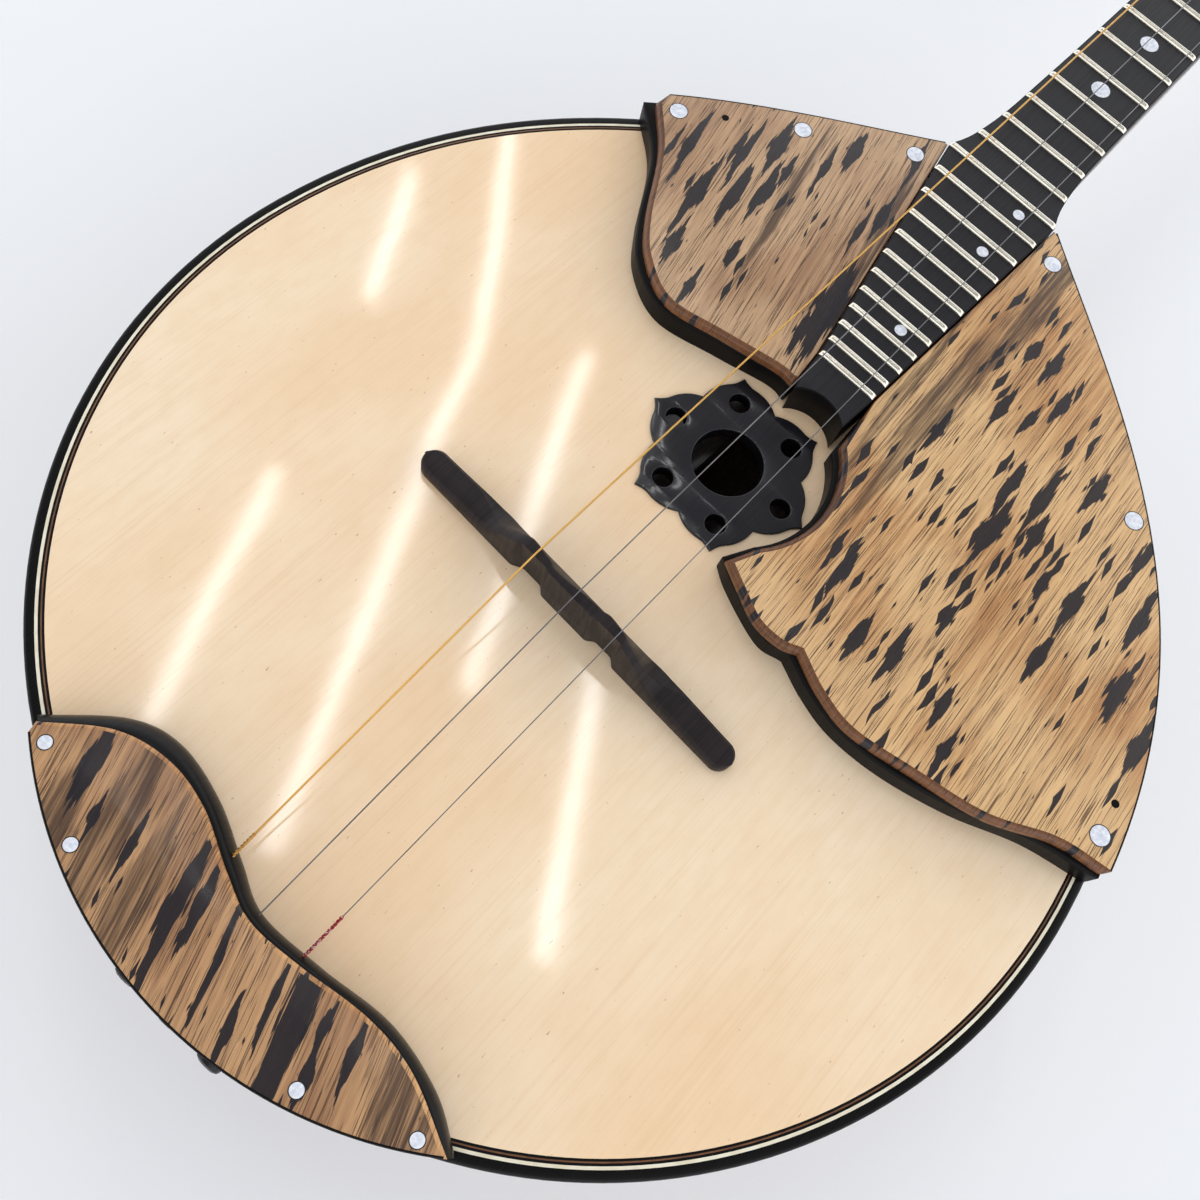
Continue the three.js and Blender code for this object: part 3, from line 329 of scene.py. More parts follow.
# Golden wood with dark spindles along the grain, and smoky streaks. Each is (place across the grain,
# place along it, half-width, half-length), in millimetres from the body's centre. Between them lie
# small spindles, up to `small` of their cell, and crowded where a noise is inside `spread`.
def moon_ebony(name, turn, tint, shade, shine, spindles=(), smoke=(), small=0.42, spread=(0.3, 0.55)):
    look = Look(name, 0.36, 0.0, 0.2, 0.15, 0.3)
    fibre = look.noise(look.space((0.55, 14, 14), turn), 3, 0.6)
    fine = look.noise(look.space((0.9, 26, 8), turn), 4, 0.6)
    broad = look.noise(look.space((9, 60, 30), turn), 2)
    cloud = look.noise(look.space((26, 34, 40), turn), 1)
    wander = look.noise(look.space((7, 16, 30), turn), 2)
    wood = look.mix(look.step(fine, 0.34, 0.66), rgb(*tint), rgb(*shade))
    wood = look.mix(look.step(broad, 0.45, 0.7), wood, rgb(*shade), 0.5)
    wood = look.mix(look.step(cloud, 0.35, 0.6), wood, rgb(*shine), 0.45)
    pore = look.step(look.noise(look.space((0.2, 13, 3), turn), 2), 0.57, 0.62)
    wood = look.mix(pore, wood, rgb(70, 46, 30), 0.8)

    place = look.shifted(look.space((1, 1, 1), turn), wander, 1.8)
    frayed = look.scaled(fibre, 1.4, -0.7)
    if smoke:
        near = look.math("ADD", look.nearest(place, smoke), frayed)
        strength = look.scaled(look.step(fine, 0.3, 0.6), 0.5, 0.35)
        wood = look.mix(look.step(near, 1.15, 0.7), wood, rgb(*SMOKE), strength)
    cells = look.node("TexVoronoi", {
        "Scale": 1.0, "Vector": look.shifted(look.space((2.4, 13, 60), turn), wander, 0.8),
    }, voronoi_dimensions="2D", distance="MANHATTAN")
    chance = look.node("SeparateColor", {"Color": cells.outputs["Color"]})
    crowd = look.step(look.noise(look.space((18, 26, 40), turn), 1), *spread)
    largest = look.scaled(crowd, small * 0.8, small * 0.2)
    size = look.math("MULTIPLY", look.step(chance.outputs["Red"], 0.3, 0.95), largest)
    black = look.step(look.math("SUBTRACT", size, cells.outputs["Distance"]), 0.0, 0.04)
    if spindles:
        near = look.math("ADD", look.nearest(place, spindles), frayed)
        black = look.math("MAXIMUM", black, look.step(near, 1.0, 0.92))
    look.color(look.mix(black, wood, rgb(25, 23, 31), 0.97))
    look.feed(look.shader, {"Roughness": look.scaled(fine, 0.2, 0.28)})
    look.bump(look.math("SUBTRACT", fine, look.math("MULTIPLY", pore, 0.5)), 0.06)
    return look.material


def plain_wood(name, light, dark, roughness, coat):
    look = Look(name, roughness=roughness, coat=coat)
    grain = look.noise(look.space((1.1, 42, 1.54)), 4, 0.6)
    pore = look.step(look.noise(look.space((0.4, 5, 1.2)), 2), 0.64, 0.72)
    wood = look.mix(look.step(grain, 0.3, 0.7), rgb(*light), rgb(*dark))
    look.color(look.mix(pore, wood, rgb(*(v * 0.5 for v in dark)), 0.5))
    look.bump(grain, 0.03)
    return look.material


def smooth_surface(name, light, dark, roughness, size=3.0, metallic=0.0, depth=0.01):
    look = Look(name, roughness=roughness, metallic=metallic)
    cloud = look.noise(look.space((size, size, size)), 3)
    look.color(look.mix(look.step(cloud, 0.3, 0.7), rgb(*light), rgb(*dark)))
    look.bump(cloud, depth)
    return look.material


# Fine turns of wire across the string's length, with painted shade in the grooves between turns and a
# painted highlight on their crests.
def wound_wire():
    look = Look("wound_bronze", roughness=0.3, metallic=1.0)
    inputs = {"Vector": look.space((0.9, 0.9, 0.9)), "Scale": 1.0}
    bands = look.node("TexWave", inputs, bands_direction="Y").outputs["Fac"]
    # Painted shade and highlight: the wave that raises each turn also colours its groove darker and its
    # crest lighter.
    look.color(look.mix(bands, rgb(196, 142, 66), rgb(232, 190, 112)))
    look.bump(bands, 0.08)
    return look.material


def silk():
    look = Look("silk", roughness=0.75)
    speck = look.step(look.noise(look.space((0.5, 0.5, 0.5)), 2), 0.55, 0.6)
    look.color(look.mix(speck, rgb(146, 14, 32), rgb(214, 176, 172)))
    look.bump(speck, 0.05)
    return look.material


def pale_floor():
    look = Look("pale_floor", roughness=0.55)
    cloud = look.noise(look.space((260, 260, 260)), 3)
    look.color(look.mix(cloud, rgb(253, 254, 255), rgb(247, 250, 254)))
    look.bump(cloud, 0.2)
    return look.material


SMOKE = (66, 48, 38)
BASS_SPINDLES = (
    (-38.6, 107, 1.7, 15), (-42.5, 104, 1.2, 9), (-31, 95, 2.0, 18), (-23.5, 100, 2.2, 13),
    (-26.8, 113, 1.4, 15), (-20.4, 120, 2.2, 12), (-17, 106, 2.2, 12), (-15, 115, 1.2, 7),
    (-7.8, 122, 1.1, 11), (-3.6, 131, 2.0, 9), (8, 110, 1.3, 10), (11.6, 139, 1.4, 12),
    (11.4, 117, 1.3, 10), (11.2, 86, 4.2, 20), (8.6, 75, 1.6, 10), (-28.6, 79, 1.8, 9),
    (-15, 85, 1.2, 7), (-20, 71, 1.4, 8), (-29, 114, 1.2, 9),
)
BASS_SMOKE = ((-11.4, 108, 2.2, 34), (12.6, 110, 2.4, 40))
TREBLE_SPINDLES = (
    (48.4, 112, 1.9, 10), (42.6, 112, 2.1, 6), (55.5, 104, 1.6, 8), (51.5, 95, 1.9, 6), (45, 93, 1.4, 9),
    (73.6, 90, 2.1, 9), (65.6, 79, 2.4, 13), (56.6, 78, 1.8, 9), (59.4, 64, 2.7, 13), (68.6, 70, 2.1, 8),
    (36.2, 77, 1.7, 9), (91.5, 83, 1.8, 10), (83.8, 61, 2.2, 11), (76, 61, 1.8, 6), (102.6, 50, 3.0, 10),
    (98.4, 68, 1.8, 11), (84, 45, 2.0, 8), (39.2, 32, 1.7, 10), (34.6, 36, 1.4, 7), (58.2, 24, 2.0, 10),
    (50, 21, 2.0, 8), (73, 21, 1.9, 8), (79, 13, 1.7, 8), (63.6, 39, 1.2, 7), (112.6, 43, 2.1, 11),
)
TREBLE_SMOKE = ((36.4, 124, 4.2, 44), (32.5, 80, 5.0, 46), (24.8, 78, 2.2, 40))
TAIL_SPINDLES = (
    (-77.6, -79, 2.0, 14), (-51.6, -98, 2.0, 22), (-47.8, -95, 1.9, 11), (-41, -103, 0.9, 18),
    (-23, -110, 3.0, 40), (-33.4, -114, 1.5, 9), (-64, -90, 1.2, 8), (-28, -105, 1.1, 12),
    (-17.2, -107, 1.5, 7), (-10.6, -109, 1.2, 11), (-73, -88, 1.0, 6), (-17, -116, 1.4, 8),
)
TAIL_SMOKE = ((-68.4, -88, 5.0, 44), (-59, -99, 5.0, 22), (2, -112, 9.0, 26), (-79, -92, 5, 16))
LOOKS = {
    "spruce": spruce(),
    "ebony": ebony("ebony"),
    "bridge_ebony": ebony("bridge_ebony", 0.5, 0.0, (38, 31, 32), 0.2),
    "lacquered_ebony": ebony("lacquered_ebony", 0.3, 0.7, (26, 25, 32), 0.2),
    "board_ebony": ebony("board_ebony", 0.4, 0.0, (30, 29, 34), 0.3),
    "moulding_ebony": ebony("moulding_ebony", 0.3, 0.0, (16, 15, 16), 0.15),
    "base_ebony": ebony("base_ebony", 0.4, 0.0, (12, 11, 12), 0.1),
    "guard_bass": moon_ebony(
        "guard_bass_wood", 13, (192, 154, 118), (154, 118, 88), (212, 178, 140),
        BASS_SPINDLES, BASS_SMOKE, 0.36, (0.46, 0.62),
    ),
    "guard_treble": moon_ebony(
        "guard_treble_wood", 4, (216, 172, 120), (176, 126, 80), (240, 204, 152),
        TREBLE_SPINDLES, TREBLE_SMOKE, 0.44, (0.3, 0.55),
    ),
    "guard_tail": moon_ebony(
        "guard_tail_wood", 22, (190, 146, 104), (146, 106, 76), (212, 168, 122),
        TAIL_SPINDLES, TAIL_SMOKE, 0.3, (0.44, 0.64),
    ),
    "guard_edge": moon_ebony("guard_edge_wood", 8, (114, 71, 42), (72, 43, 27), (130, 84, 50), small=0.5),
    "tail_edge": moon_ebony("tail_edge_wood", 22, (206, 156, 104), (160, 110, 68), (222, 176, 122)),
    "rib_wood": plain_wood("rib_wood", (134, 74, 44), (92, 46, 28), 0.3, 0.8),
    "neck_wood": plain_wood("neck_wood", (122, 74, 46), (84, 48, 30), 0.34, 0.4),
    "inside_wood": plain_wood("inside_wood", (220, 192, 150), (188, 154, 110), 0.65, 0.0),
    "white_line": smooth_surface("white_line", (240, 234, 214), (226, 216, 190), 0.3),
    "brown_line": smooth_surface("brown_line", (122, 82, 52), (96, 62, 40), 0.3),
    "bone": smooth_surface("bone", (238, 230, 208), (222, 210, 182), 0.3, 6.0),
    "pearl": smooth_surface("pearl", (238, 240, 246), (206, 212, 226), 0.16, 0.9),
    "dark_ring": smooth_surface("dark_ring", (34, 28, 28), (22, 18, 18), 0.4),
    "steel_wire": smooth_surface("steel_wire", (128, 126, 128), (104, 102, 104), 0.3, 9.0, 1.0, 0.002),
    "bronze_wire": wound_wire(),
    "nickel": smooth_surface("nickel", (240, 235, 220), (226, 219, 203), 0.28, 7.0, 1.0, 0.0),
    "brass": smooth_surface("brass", (206, 168, 96), (172, 134, 70), 0.3, 3.0, 1.0, 0.02),
    "silk": silk(),
}

# ---------------------------------------------------------------- outlines
def blend(a, b, share):
    return a + (b - a) * share


def smoothstep(low, high, value):
    share = min(1.0, max(0.0, (value - low) / (high - low)))
    return share * share * (3 - 2 * share)


# A smooth open curve through the points, with about `spacing` between its samples.
def curve_through(points, spacing=0.8):
    points = [Vector(point) for point in points]
    padded = [2 * points[0] - points[1], *points, 2 * points[-1] - points[-2]]
    samples = []
    for before, start, end, after in zip(padded, padded[1:], padded[2:], padded[3:]):
        steps = max(2, round((end - start).length / spacing))
        for step in range(steps):
            t = step / steps
            samples.append(0.5 * (
                2 * start + (end - before) * t
                + (2 * before - 5 * start + 4 * end - after) * t ** 2
                + (3 * start - before - 3 * end + after) * t ** 3
            ))
    return [*samples, points[-1]]


def arc(centre, radius, start, end, steps):
    angles = [radians(blend(start, end, i / steps)) for i in range(steps + 1)]
    return [Vector((centre[0] + radius * cos(a), centre[1] + radius * sin(a))) for a in angles]


def full_turn(sides):
    return [2 * pi * i / sides for i in range(sides)]


def mirrored(points):
    return [Vector((-point.x, point.y)) for point in points]


SHOULDER_RADIANS = radians(SHOULDER_ANGLE)
SHOULDER_START = Vector((
    BODY_RADIUS * cos(SHOULDER_RADIANS),
    BODY_CENTRE_Y + BODY_RADIUS * sin(SHOULDER_RADIANS),
))
SHOULDER = (
    SHOULDER_START,
    SHOULDER_START + SHOULDER_HANDLE * Vector((-sin(SHOULDER_RADIANS), cos(SHOULDER_RADIANS))),
    Vector((JOINT_HALF_WIDTH, JOINT_Y))
    + JOINT_HANDLE * Vector((cos(radians(JOINT_SLOPE)), -sin(radians(JOINT_SLOPE)))),
    Vector((JOINT_HALF_WIDTH, JOINT_Y)),
)


class Station:
    """A place on the treble half of the body's outline."""

    def __init__(self, point, inward, angle=None, at_joint=False):
        self.point, self.inward, self.angle, self.at_joint = point, inward, angle, at_joint

    def inset(self, distance):
        if self.at_joint:
            return Vector((self.point.x - distance / abs(self.inward.x), self.point.y))
        return self.point + self.inward * distance


def circle_station(angle_degrees):
    angle = radians(angle_degrees)
    outward = Vector((cos(angle), sin(angle)))
    return Station(Vector((0, BODY_CENTRE_Y)) + BODY_RADIUS * outward, -outward, angle)


def shoulder_station(t):
    a, b, c, d = SHOULDER
    point = a * (1 - t) ** 3 + 3 * b * t * (1 - t) ** 2 + 3 * c * t * t * (1 - t) + d * t ** 3
    along = ((b - a) * (1 - t) ** 2 + 2 * (c - b) * t * (1 - t) + (d - c) * t * t).normalized()
    return Station(point, Vector((-along.y, along.x)), at_joint=t == 1)


def half_outline(first_angle, arc_steps, shoulder_steps):
    angles = [blend(first_angle, -SHOULDER_ANGLE, i / arc_steps) for i in range(arc_steps)]
    stations = [circle_station(angle) for angle in (*angles, -SHOULDER_ANGLE, SHOULDER_ANGLE)]
    return stations + [shoulder_station(i / shoulder_steps) for i in range(1, shoulder_steps + 1)]


def fine_half(first_angle=-90):
    stations = half_outline(first_angle, 48, 36)
    extra = [circle_station(angle) for angle in (-4.3, -2.2, 0, 2.2, 4.3)]
    return stations[:49] + extra + stations[49:]


FINE_HALF = fine_half()


def side_to_side(inset):
    treble = [station.inset(inset) for station in FINE_HALF]
    return mirrored(treble[1:][::-1]) + treble


def shoulder_parameter(y):
    low, high = 0.0, 1.0
    for _ in range(40):
        middle = (low + high) / 2
        low, high = (middle, high) if shoulder_station(middle).point.y < y else (low, middle)
    return low


def shoulder_points(from_y, overhang, steps=60):
    first = shoulder_parameter(from_y)
    stations = [shoulder_station(blend(first, 1, i / steps)) for i in range(steps + 1)]
    return [station.inset(-overhang) for station in stations]


# ---------------------------------------------------------------- mesh shapes
class Shape:
    """Points and faces of a closed skin, with a look number for each face."""

    def __init__(self):
        self.points, self.faces, self.looks = [], [], []

    def add(self, points, faces, look=0):
        start = len(self.points)
        self.points += [Vector(point) for point in points]
        self.faces += [tuple(start + i for i in face) for face in faces]
        self.looks += [look] * len(faces)
        return self

    def join(self, other, look=0):
        return self.add(other.points, other.faces, look)


def band(rings, count):
    faces = []
    for row in range(len(rings) - 1):
        for i in range(count):
            a, b = row * count + i, row * count + (i + 1) % count
            faces.append((a, b, b + count, a + count))
    return faces


# A skin over closed sections with equal numbers of points, shut by a flat face at each end.
def loft(sections):
    count = len(sections[0])
    last = (len(sections) - 1) * count
    caps = [tuple(range(count))[::-1], tuple(range(last, last + count))]
    return Shape().add([p for ring in sections for p in ring], band(sections, count) + caps)


# A solid of revolution round z, from a profile of radius and height.
def turned(profile, sides=32):
    rings = []
    for radius, z in profile:
        reach = max(radius, 0.001)
        rings.append([(reach * cos(angle), reach * sin(angle), z) for angle in full_turn(sides)])
    return loft(rings)


# A ring: the profile runs round a hole, and closes on itself.
def turned_ring(profile, sides=32):
    shape = Shape()
    count = len(profile)
    points = []
    for angle in full_turn(sides):
        points += [(radius * cos(angle), radius * sin(angle), z) for radius, z in profile]
    faces = []
    for i in range(sides):
        for j in range(count):
            a, b = i * count + j, i * count + (j + 1) % count
            c, d = ((i + 1) % sides) * count + (j + 1) % count, ((i + 1) % sides) * count + j
            faces.append((a, b, c, d))
    return shape.add(points, faces)


# The closed outline, moved to its left, which is inwards where it runs anticlockwise.
def offset(points, distance, shares=None):
    count = len(points)
    moved = []
    for i in range(count):
        before, here, after = points[i - 1], points[i], points[(i + 1) % count]
        first, second = (here - before).normalized(), (after - here).normalized()
        normal = Vector((-first.y - second.y, first.x + second.x))
        if normal.length < 1e-6:
            normal = Vector((-first.y, first.x))
        normal.normalize()
        stretch = 1 / max(0.5, normal.dot(Vector((-first.y, first.x))))
        moved.append(here + normal * distance * stretch * (shares[i] if shares else 1))
    return moved


# The same outline, running anticlockwise.
def turning_left(points):
    area = sum(a.cross(b) for a, b in zip(points, points[1:] + points[:1]))
    return points if area > 0 else points[::-1]


# A flat plate with rounded upper and lower edges, and holes with the same rounding. The shares
# say how much of the rounding each point of the outline gets.
def slab(outline, bottom, top, upper=0.0, lower=0.0, holes=(), side_look=0, hole_look=0, shares=None):
    steps = 4
    levels = []
    for i in range(steps + 1 if lower else 1):
        angle = pi / 2 * i / steps
        levels.append((lower * (1 - sin(angle)), bottom, lower * (1 - cos(angle))))
    for i in range(steps + 1 if upper else 1):
        angle = pi / 2 * i / steps
        levels.append((upper * (1 - cos(angle)), top, -upper * (1 - sin(angle))))
    outline = list(outline)
    shares = list(shares or [1] * len(outline))
    if turning_left(outline) != outline:
        outline, shares = outline[::-1], shares[::-1]
    shape = Shape()
    loops = [(outline, shares)]
    loops += [(turning_left(list(hole))[::-1], [1] * len(hole)) for hole in holes]
    ends = ([], [])
    for number, (loop, parts) in enumerate(loops):
        rings = []
        for inset, level, lift in levels:
            moved = offset(loop, inset, parts)
            rings.append([Vector((p.x, p.y, level + lift * part)) for p, part in zip(moved, parts)])
        look = hole_look if number else side_look
        shape.add([p for ring in rings for p in ring], band(rings, len(loop)), look)
        ends[0].append(rings[0])
        ends[1].append(rings[-1])
    for loops_here, reverse in ((ends[0], True), (ends[1], False)):
        triangles = tessellate_polygon(loops_here)
        points = [p for loop in loops_here for p in loop]
        shape.add(points, [t[::-1] if reverse else t for t in triangles])
    return shape


# A round tube along a route of points, with one radius for each point or one for all.
def tube(route, radius, sides=12):
    route = [Vector(point) for point in route]
    rings = []
    up = None
    for i, point in enumerate(route):
        along = (route[min(i + 1, len(route) - 1)] - route[max(i - 1, 0)]).normalized()
        if up is None:
            up = along.orthogonal().normalized()
        up = (up - along * up.dot(along)).normalized()
        side = along.cross(up)
        here = radius[i] if isinstance(radius, (list, tuple)) else radius
        rings.append([point + (up * cos(a) + side * sin(a)) * here for a in full_turn(sides)])
    return loft(rings)


# The record's slot for a look.
def slot_of(look):
    if look.startswith("guard_"):
        return "pale_moon_ebony"
    return "ebony" if look.endswith("ebony") else look


def at(x, y, z, frame_here=INSTRUMENT):
    return frame_here @ Matrix.Translation((x, y, z))


# One visual piece on its body. A slot is worked out for it, its own or else the one of its first look,
# but nothing stores it.
def piece(name, shape, looks, body=BODY, place=INSTRUMENT, replaces=None, slot=None, crease=38):
    looks = [looks] if isinstance(looks, str) else looks
    slot = slot_of(looks[0]) if slot is None else slot
    mesh = bpy.data.meshes.new(name)
    mesh.from_pydata([place @ point for point in shape.points], [], shape.faces)
    for look in looks:
        mesh.materials.append(LOOKS[look])
    mesh.polygons.foreach_set("material_index", shape.looks)
    made = bpy.data.objects.new(name, mesh)
    bpy.context.collection.objects.link(made)
    tidy_mesh(mesh, crease)
    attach(made, body)
    if replaces:
        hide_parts(replaces)


# Joins doubled corners, turns the faces out, and creases edges sharper than an angle in degrees.
def tidy_mesh(mesh, crease):
    work = bmesh.new()
    work.from_mesh(mesh)
    bmesh.ops.remove_doubles(work, verts=work.verts, dist=1e-6)
    bmesh.ops.dissolve_degenerate(work, edges=work.edges, dist=1e-7)
    bmesh.ops.recalc_face_normals(work, faces=work.faces)
    for face in work.faces:
        face.smooth = True
    work.to_mesh(mesh)
    work.free()
    mesh.set_sharp_from_angle(angle=radians(crease))


# Shows a CAD solid as it is, in a look.
def reuse(node, look):
    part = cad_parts[node]
    part.data.materials.clear()
    part.data.materials.append(LOOKS[look])


# ---------------------------------------------------------------- the bowl
RIB_ANGLE = pi / RIB_COUNT
RIM_TO_FLAT = (BODY_DEPTH - TOP_THICKNESS) / cos(RIB_ANGLE / 2)
FULL_DEPTH = RIM_TO_FLAT / cos(SHOULDER_RADIANS)


# The bowl's depth under the soundboard: level at its widest, round towards the tail, and easing
# down to the heel along the shoulder.
def bowl_depth(station, inset, y):
    if station.angle is not None:
        level = abs(station.angle) <= SHOULDER_RADIANS
        return (FULL_DEPTH - inset) * cos(SHOULDER_RADIANS if level else station.angle)
    run = JOINT_Y - SHOULDER[0].y
    turn = pi / 2 * (y - SHOULDER[0].y) / run
    drop = RIM_TO_FLAT - HEEL_DEPTH
    slope = drop * sin(turn) * pi / 2 / run
    return HEEL_DEPTH + drop * cos(turn) - inset * hypot(1, slope)


def bowl_point(station, across, inset):
    plan = station.inset(inset)
    depth = bowl_depth(station, inset, plan.y)
    return Vector((plan.x * cos(across), plan.y, -TOP_THICKNESS - depth * sin(across)))


# A rib's cross-section, from one seam to the next.
def rib_section(station, rib):
    outer = [bowl_point(station, (rib + end) * RIB_ANGLE, 0) for end in (0, 1)]
    inner = [bowl_point(station, (rib + end) * RIB_ANGLE, RIB_THICKNESS) for end in (0, 1)]
    trim = SEAM_WIDTH / 2
    along = (outer[1] - outer[0]).normalized()
    first = 0 if rib == 0 else trim
    final = 0 if rib == RIB_COUNT - 1 else trim
    shares = [i / 6 for i in range(7)]
    outside = [blend(outer[0] + along * first, outer[1] - along * final, s) for s in shares]
    inside = [blend(inner[0] + along * first, inner[1] - along * final, s) for s in shares]
    return outside + inside[::-1]


# The dark glue between two ribs, filling the gap that their trimmed edges leave.
def seam_section(station, seam):
    corner = bowl_point(station, seam * RIB_ANGLE, 0.06)
    inner = bowl_point(station, seam * RIB_ANGLE, RIB_THICKNESS)
    sides = []
    for step in (-1, 1):
        along = (bowl_point(station, (seam + step) * RIB_ANGLE, 0) - corner).normalized()
        sides.append(along * (SEAM_WIDTH / 2 + 0.05))
    return [corner + sides[0], corner, corner + sides[1], inner + sides[1], inner + sides[0]]


def build_bowl():
    stations = fine_half(RIB_END_ANGLE)
    for rib in range(RIB_COUNT):
        shape = loft([rib_section(station, rib) for station in stations])
        node = f"bowl_rib_{rib + 1}"
        piece(f"rib_{rib + 1}", shape, "rib_wood", replaces=node)
    for seam in range(1, RIB_COUNT):
        shape = loft([seam_section(station, seam) for station in stations])
        piece(f"seam_{seam}", shape, "ebony")
    inside = ("tail_block", "neck_block", "lining_treble", "lining_bass")
    for node in (*inside, "brace_tail", "brace_middle", "brace_neck"):
        reuse(node, "inside_wood")


# The cap lies on the ribs' ends at the tail, and follows their flats.
def build_tail_cap():
    angles = [blend(RIB_END_ANGLE - 0.5, -88.6, i / 16) for i in range(17)]
    sections = []
    for angle in angles:
        station = circle_station(angle)
        corners = [bowl_point(station, i * RIB_ANGLE, -0.3) for i in range(RIB_COUNT + 1)]
        ring = [blend(a, b, s / 3) for a, b in zip(corners, corners[1:]) for s in range(3)]
        sections.append([*ring, corners[-1]])
    piece("tail_end_cap", loft(sections), "ebony", replaces="tail_cap")


# ---------------------------------------------------------------- soundboard and its edge
# A strip that follows the body's outline, with its cross-section given as (inset, height).
def edge_strip(profile):
    paths = [side_to_side(inset) for inset, _ in profile]
    heights = [z for _, z in profile]
    sections = []
    for places in zip(*paths):
        sections.append([(p.x, p.y, z) for p, z in zip(places, heights)])
    return loft(sections)


def round_rosette(radius, turn):
    return ROSETTE[0] + radius * cos(radians(turn)), ROSETTE[1] + radius * sin(radians(turn))


def round_holes():
    holes = [arc(ROSETTE, SOUND_HOLE, 0, 352.5, 47)]
    for petal in range(6):
        holes.append(arc(round_rosette(SMALL_HOLE_CIRCLE, 60 * petal), SMALL_HOLE, 0, 345, 23))
    return holes


# The petals: a lobe's centre and radius from the rosette's middle, and the point on its end.
LOBE_CENTRE = 11.5
LOBE_RADIUS = 9.7
TIP_LENGTH = 1.9
TIP_HALF_ANGLE = 8.5


# Round lobes that meet in cusps, each with an ogee point at its middle.
def petal_radius(off_tip):
    angle = radians(off_tip)
    lobe = LOBE_CENTRE * cos(angle) + sqrt(LOBE_RADIUS ** 2 - (LOBE_CENTRE * sin(angle)) ** 2)
    return lobe + TIP_LENGTH * max(0.0, 1 - abs(off_tip) / TIP_HALF_ANGLE) ** 2


def rosette_outline():
    offsets = (-30, -28, -25, -22, -18, -14, -11, -8.5, -6.5, -5, -3.5, -2.2, -1, 0)
    offsets += tuple(-value for value in offsets[-2:0:-1])
    points = []
    for petal in range(6):
        for off_tip in offsets:
            points.append(Vector(round_rosette(petal_radius(off_tip), 60 * petal + off_tip)))
    return points


def build_top():
    low = -TOP_THICKNESS
    outer = [(0, low + 0.4), (0, -0.9), (0.12, -0.45), (0.35, -0.15), (0.8, 0)]
    binding = edge_strip([*outer, (BINDING, 0), (BINDING, low), (0.4, low)])
    piece("edge_binding", binding, "moulding_ebony", replaces="binding")

    def flat_line(name, start, width, look, **links):
        ends = [(start, 0), (start + width, 0), (start + width, low), (start, low)]
        piece(name, edge_strip(ends), look, **links)

    white_end = BINDING + WHITE_LINE
    half_line = (INNER_LINE - BROWN_LINE) / 2
    flat_line("white_edge_line", BINDING, WHITE_LINE, "white_line", replaces="purfling_white")
    flat_line("dark_edge_line_outer", white_end, half_line, "moulding_ebony", replaces="purfling_black")
    flat_line("brown_edge_line", white_end + half_line, BROWN_LINE, "brown_line", slot="")
    flat_line("dark_edge_line_inner", white_end + half_line + BROWN_LINE, half_line, "moulding_ebony")
    top = slab(side_to_side(white_end + INNER_LINE), low, 0, holes=round_holes(), hole_look=1)
    piece("top_plate", top, ["spruce", "moulding_ebony"], replaces="soundboard")
    petals = slab(rosette_outline(), 0, ROSETTE_TOP, 0.28, 0, round_holes())
    piece("petal_rosette", petals, "lacquered_ebony", replaces="rosette")


# ---------------------------------------------------------------- fingerboard
BOARD_FOOT = (17.4, JOINT_Y - 0.3)
BOARD_SIDE = (
    (NUT_HALF_WIDTH, NUT_Y), (12.5, 240), (13.0, 200), (13.4, 184), (14.2, 175), (15.4, 168),
    BOARD_FOOT,
)
BOARD_LEFT_X = -1.9
BOARD_RIGHT_X = 15.0
BOARD_END = ((7.2, 69.5), 9.4)
BOARD_END_LEFT_X = -0.9


# The side runs from the nut to where the neck meets the body.
def board_side():
    return curve_through(BOARD_SIDE, 2.0)


def board_plan():
    side = board_side()
    end = arc(BOARD_END[0], BOARD_END[1], 140, 40, 28)
    left = [Vector((BOARD_LEFT_X, LAST_FRET_Y)), Vector((BOARD_END_LEFT_X, 79))]
    return side[::-1] + mirrored(side) + left + end + [Vector((BOARD_RIGHT_X, LAST_FRET_Y))]


# The two x where a line across the neck meets the board's outline.
def board_reach(y):
    plan = board_plan()
    hits = []
    for a, b in zip(plan, plan[1:] + plan[:1]):
        if (a.y - y) * (b.y - y) < 0:
            hits.append(blend(a.x, b.x, (y - a.y) / (b.y - a.y)))
    return min(hits), max(hits)


def fret_y(number):
    return NUT_Y - SCALE_LENGTH + SCALE_LENGTH * 2 ** (-number / 12)


# How a fret rises from its end: distances along it, each with a share of the full height.
FRET_END = ((0.15, 0.15), (0.4, 0.62), (0.95, 0.93), (1.5, 1.0))


def fret(number):
    y = fret_y(number)
    left, right = board_reach(y)
    reach = [(left + inset, share) for inset, share in FRET_END]
    reach += [(right - inset, share) for inset, share in FRET_END[::-1]]
    half = FRET_WIDTH / 2
    sections = []
    for x, share in reach:
        ring = []
        for angle in [pi * i / 8 for i in range(9)]:
            ring.append((x, y - half * cos(angle), BOARD_TOP + FRET_HEIGHT * sin(angle) * share))
        ring += [(x, y + half, BOARD_TOP - 0.3), (x, y - half, BOARD_TOP - 0.3)]
        sections.append(ring)
    return loft(sections)


# A pearl disc in a ring of dark glue.
def pearl_dot(name, x, y, surface, radius):
    disc = turned([(0, -0.8), (radius, -0.8), (radius, 0.03), (radius - 0.12, 0.07), (0, 0.09)], 36)
    ring = turned_ring([
        (radius - 0.02, -0.7), (radius + 0.2, -0.7), (radius + 0.2, 0.035), (radius - 0.02, 0.035),
    ], 36)
    shape = Shape().join(disc).join(ring, 1)
    piece(name, shape, ["pearl", "dark_ring"], place=at(x, y, surface))


BOARD_DOTS = (
    (24, 8.0, 107.4, 1.55), (19, 8.5, 141.7, 1.55), (17, 8.4, 158.3, 1.55), (12, 0.0, 210.4, 2.7),
    (10, 0.4, 235.5, 2.7), (7, 0.0, 279.0, 2.7), (5, 0.0, 312.2, 2.7), (2, 0.0, 371.0, 2.7),
)


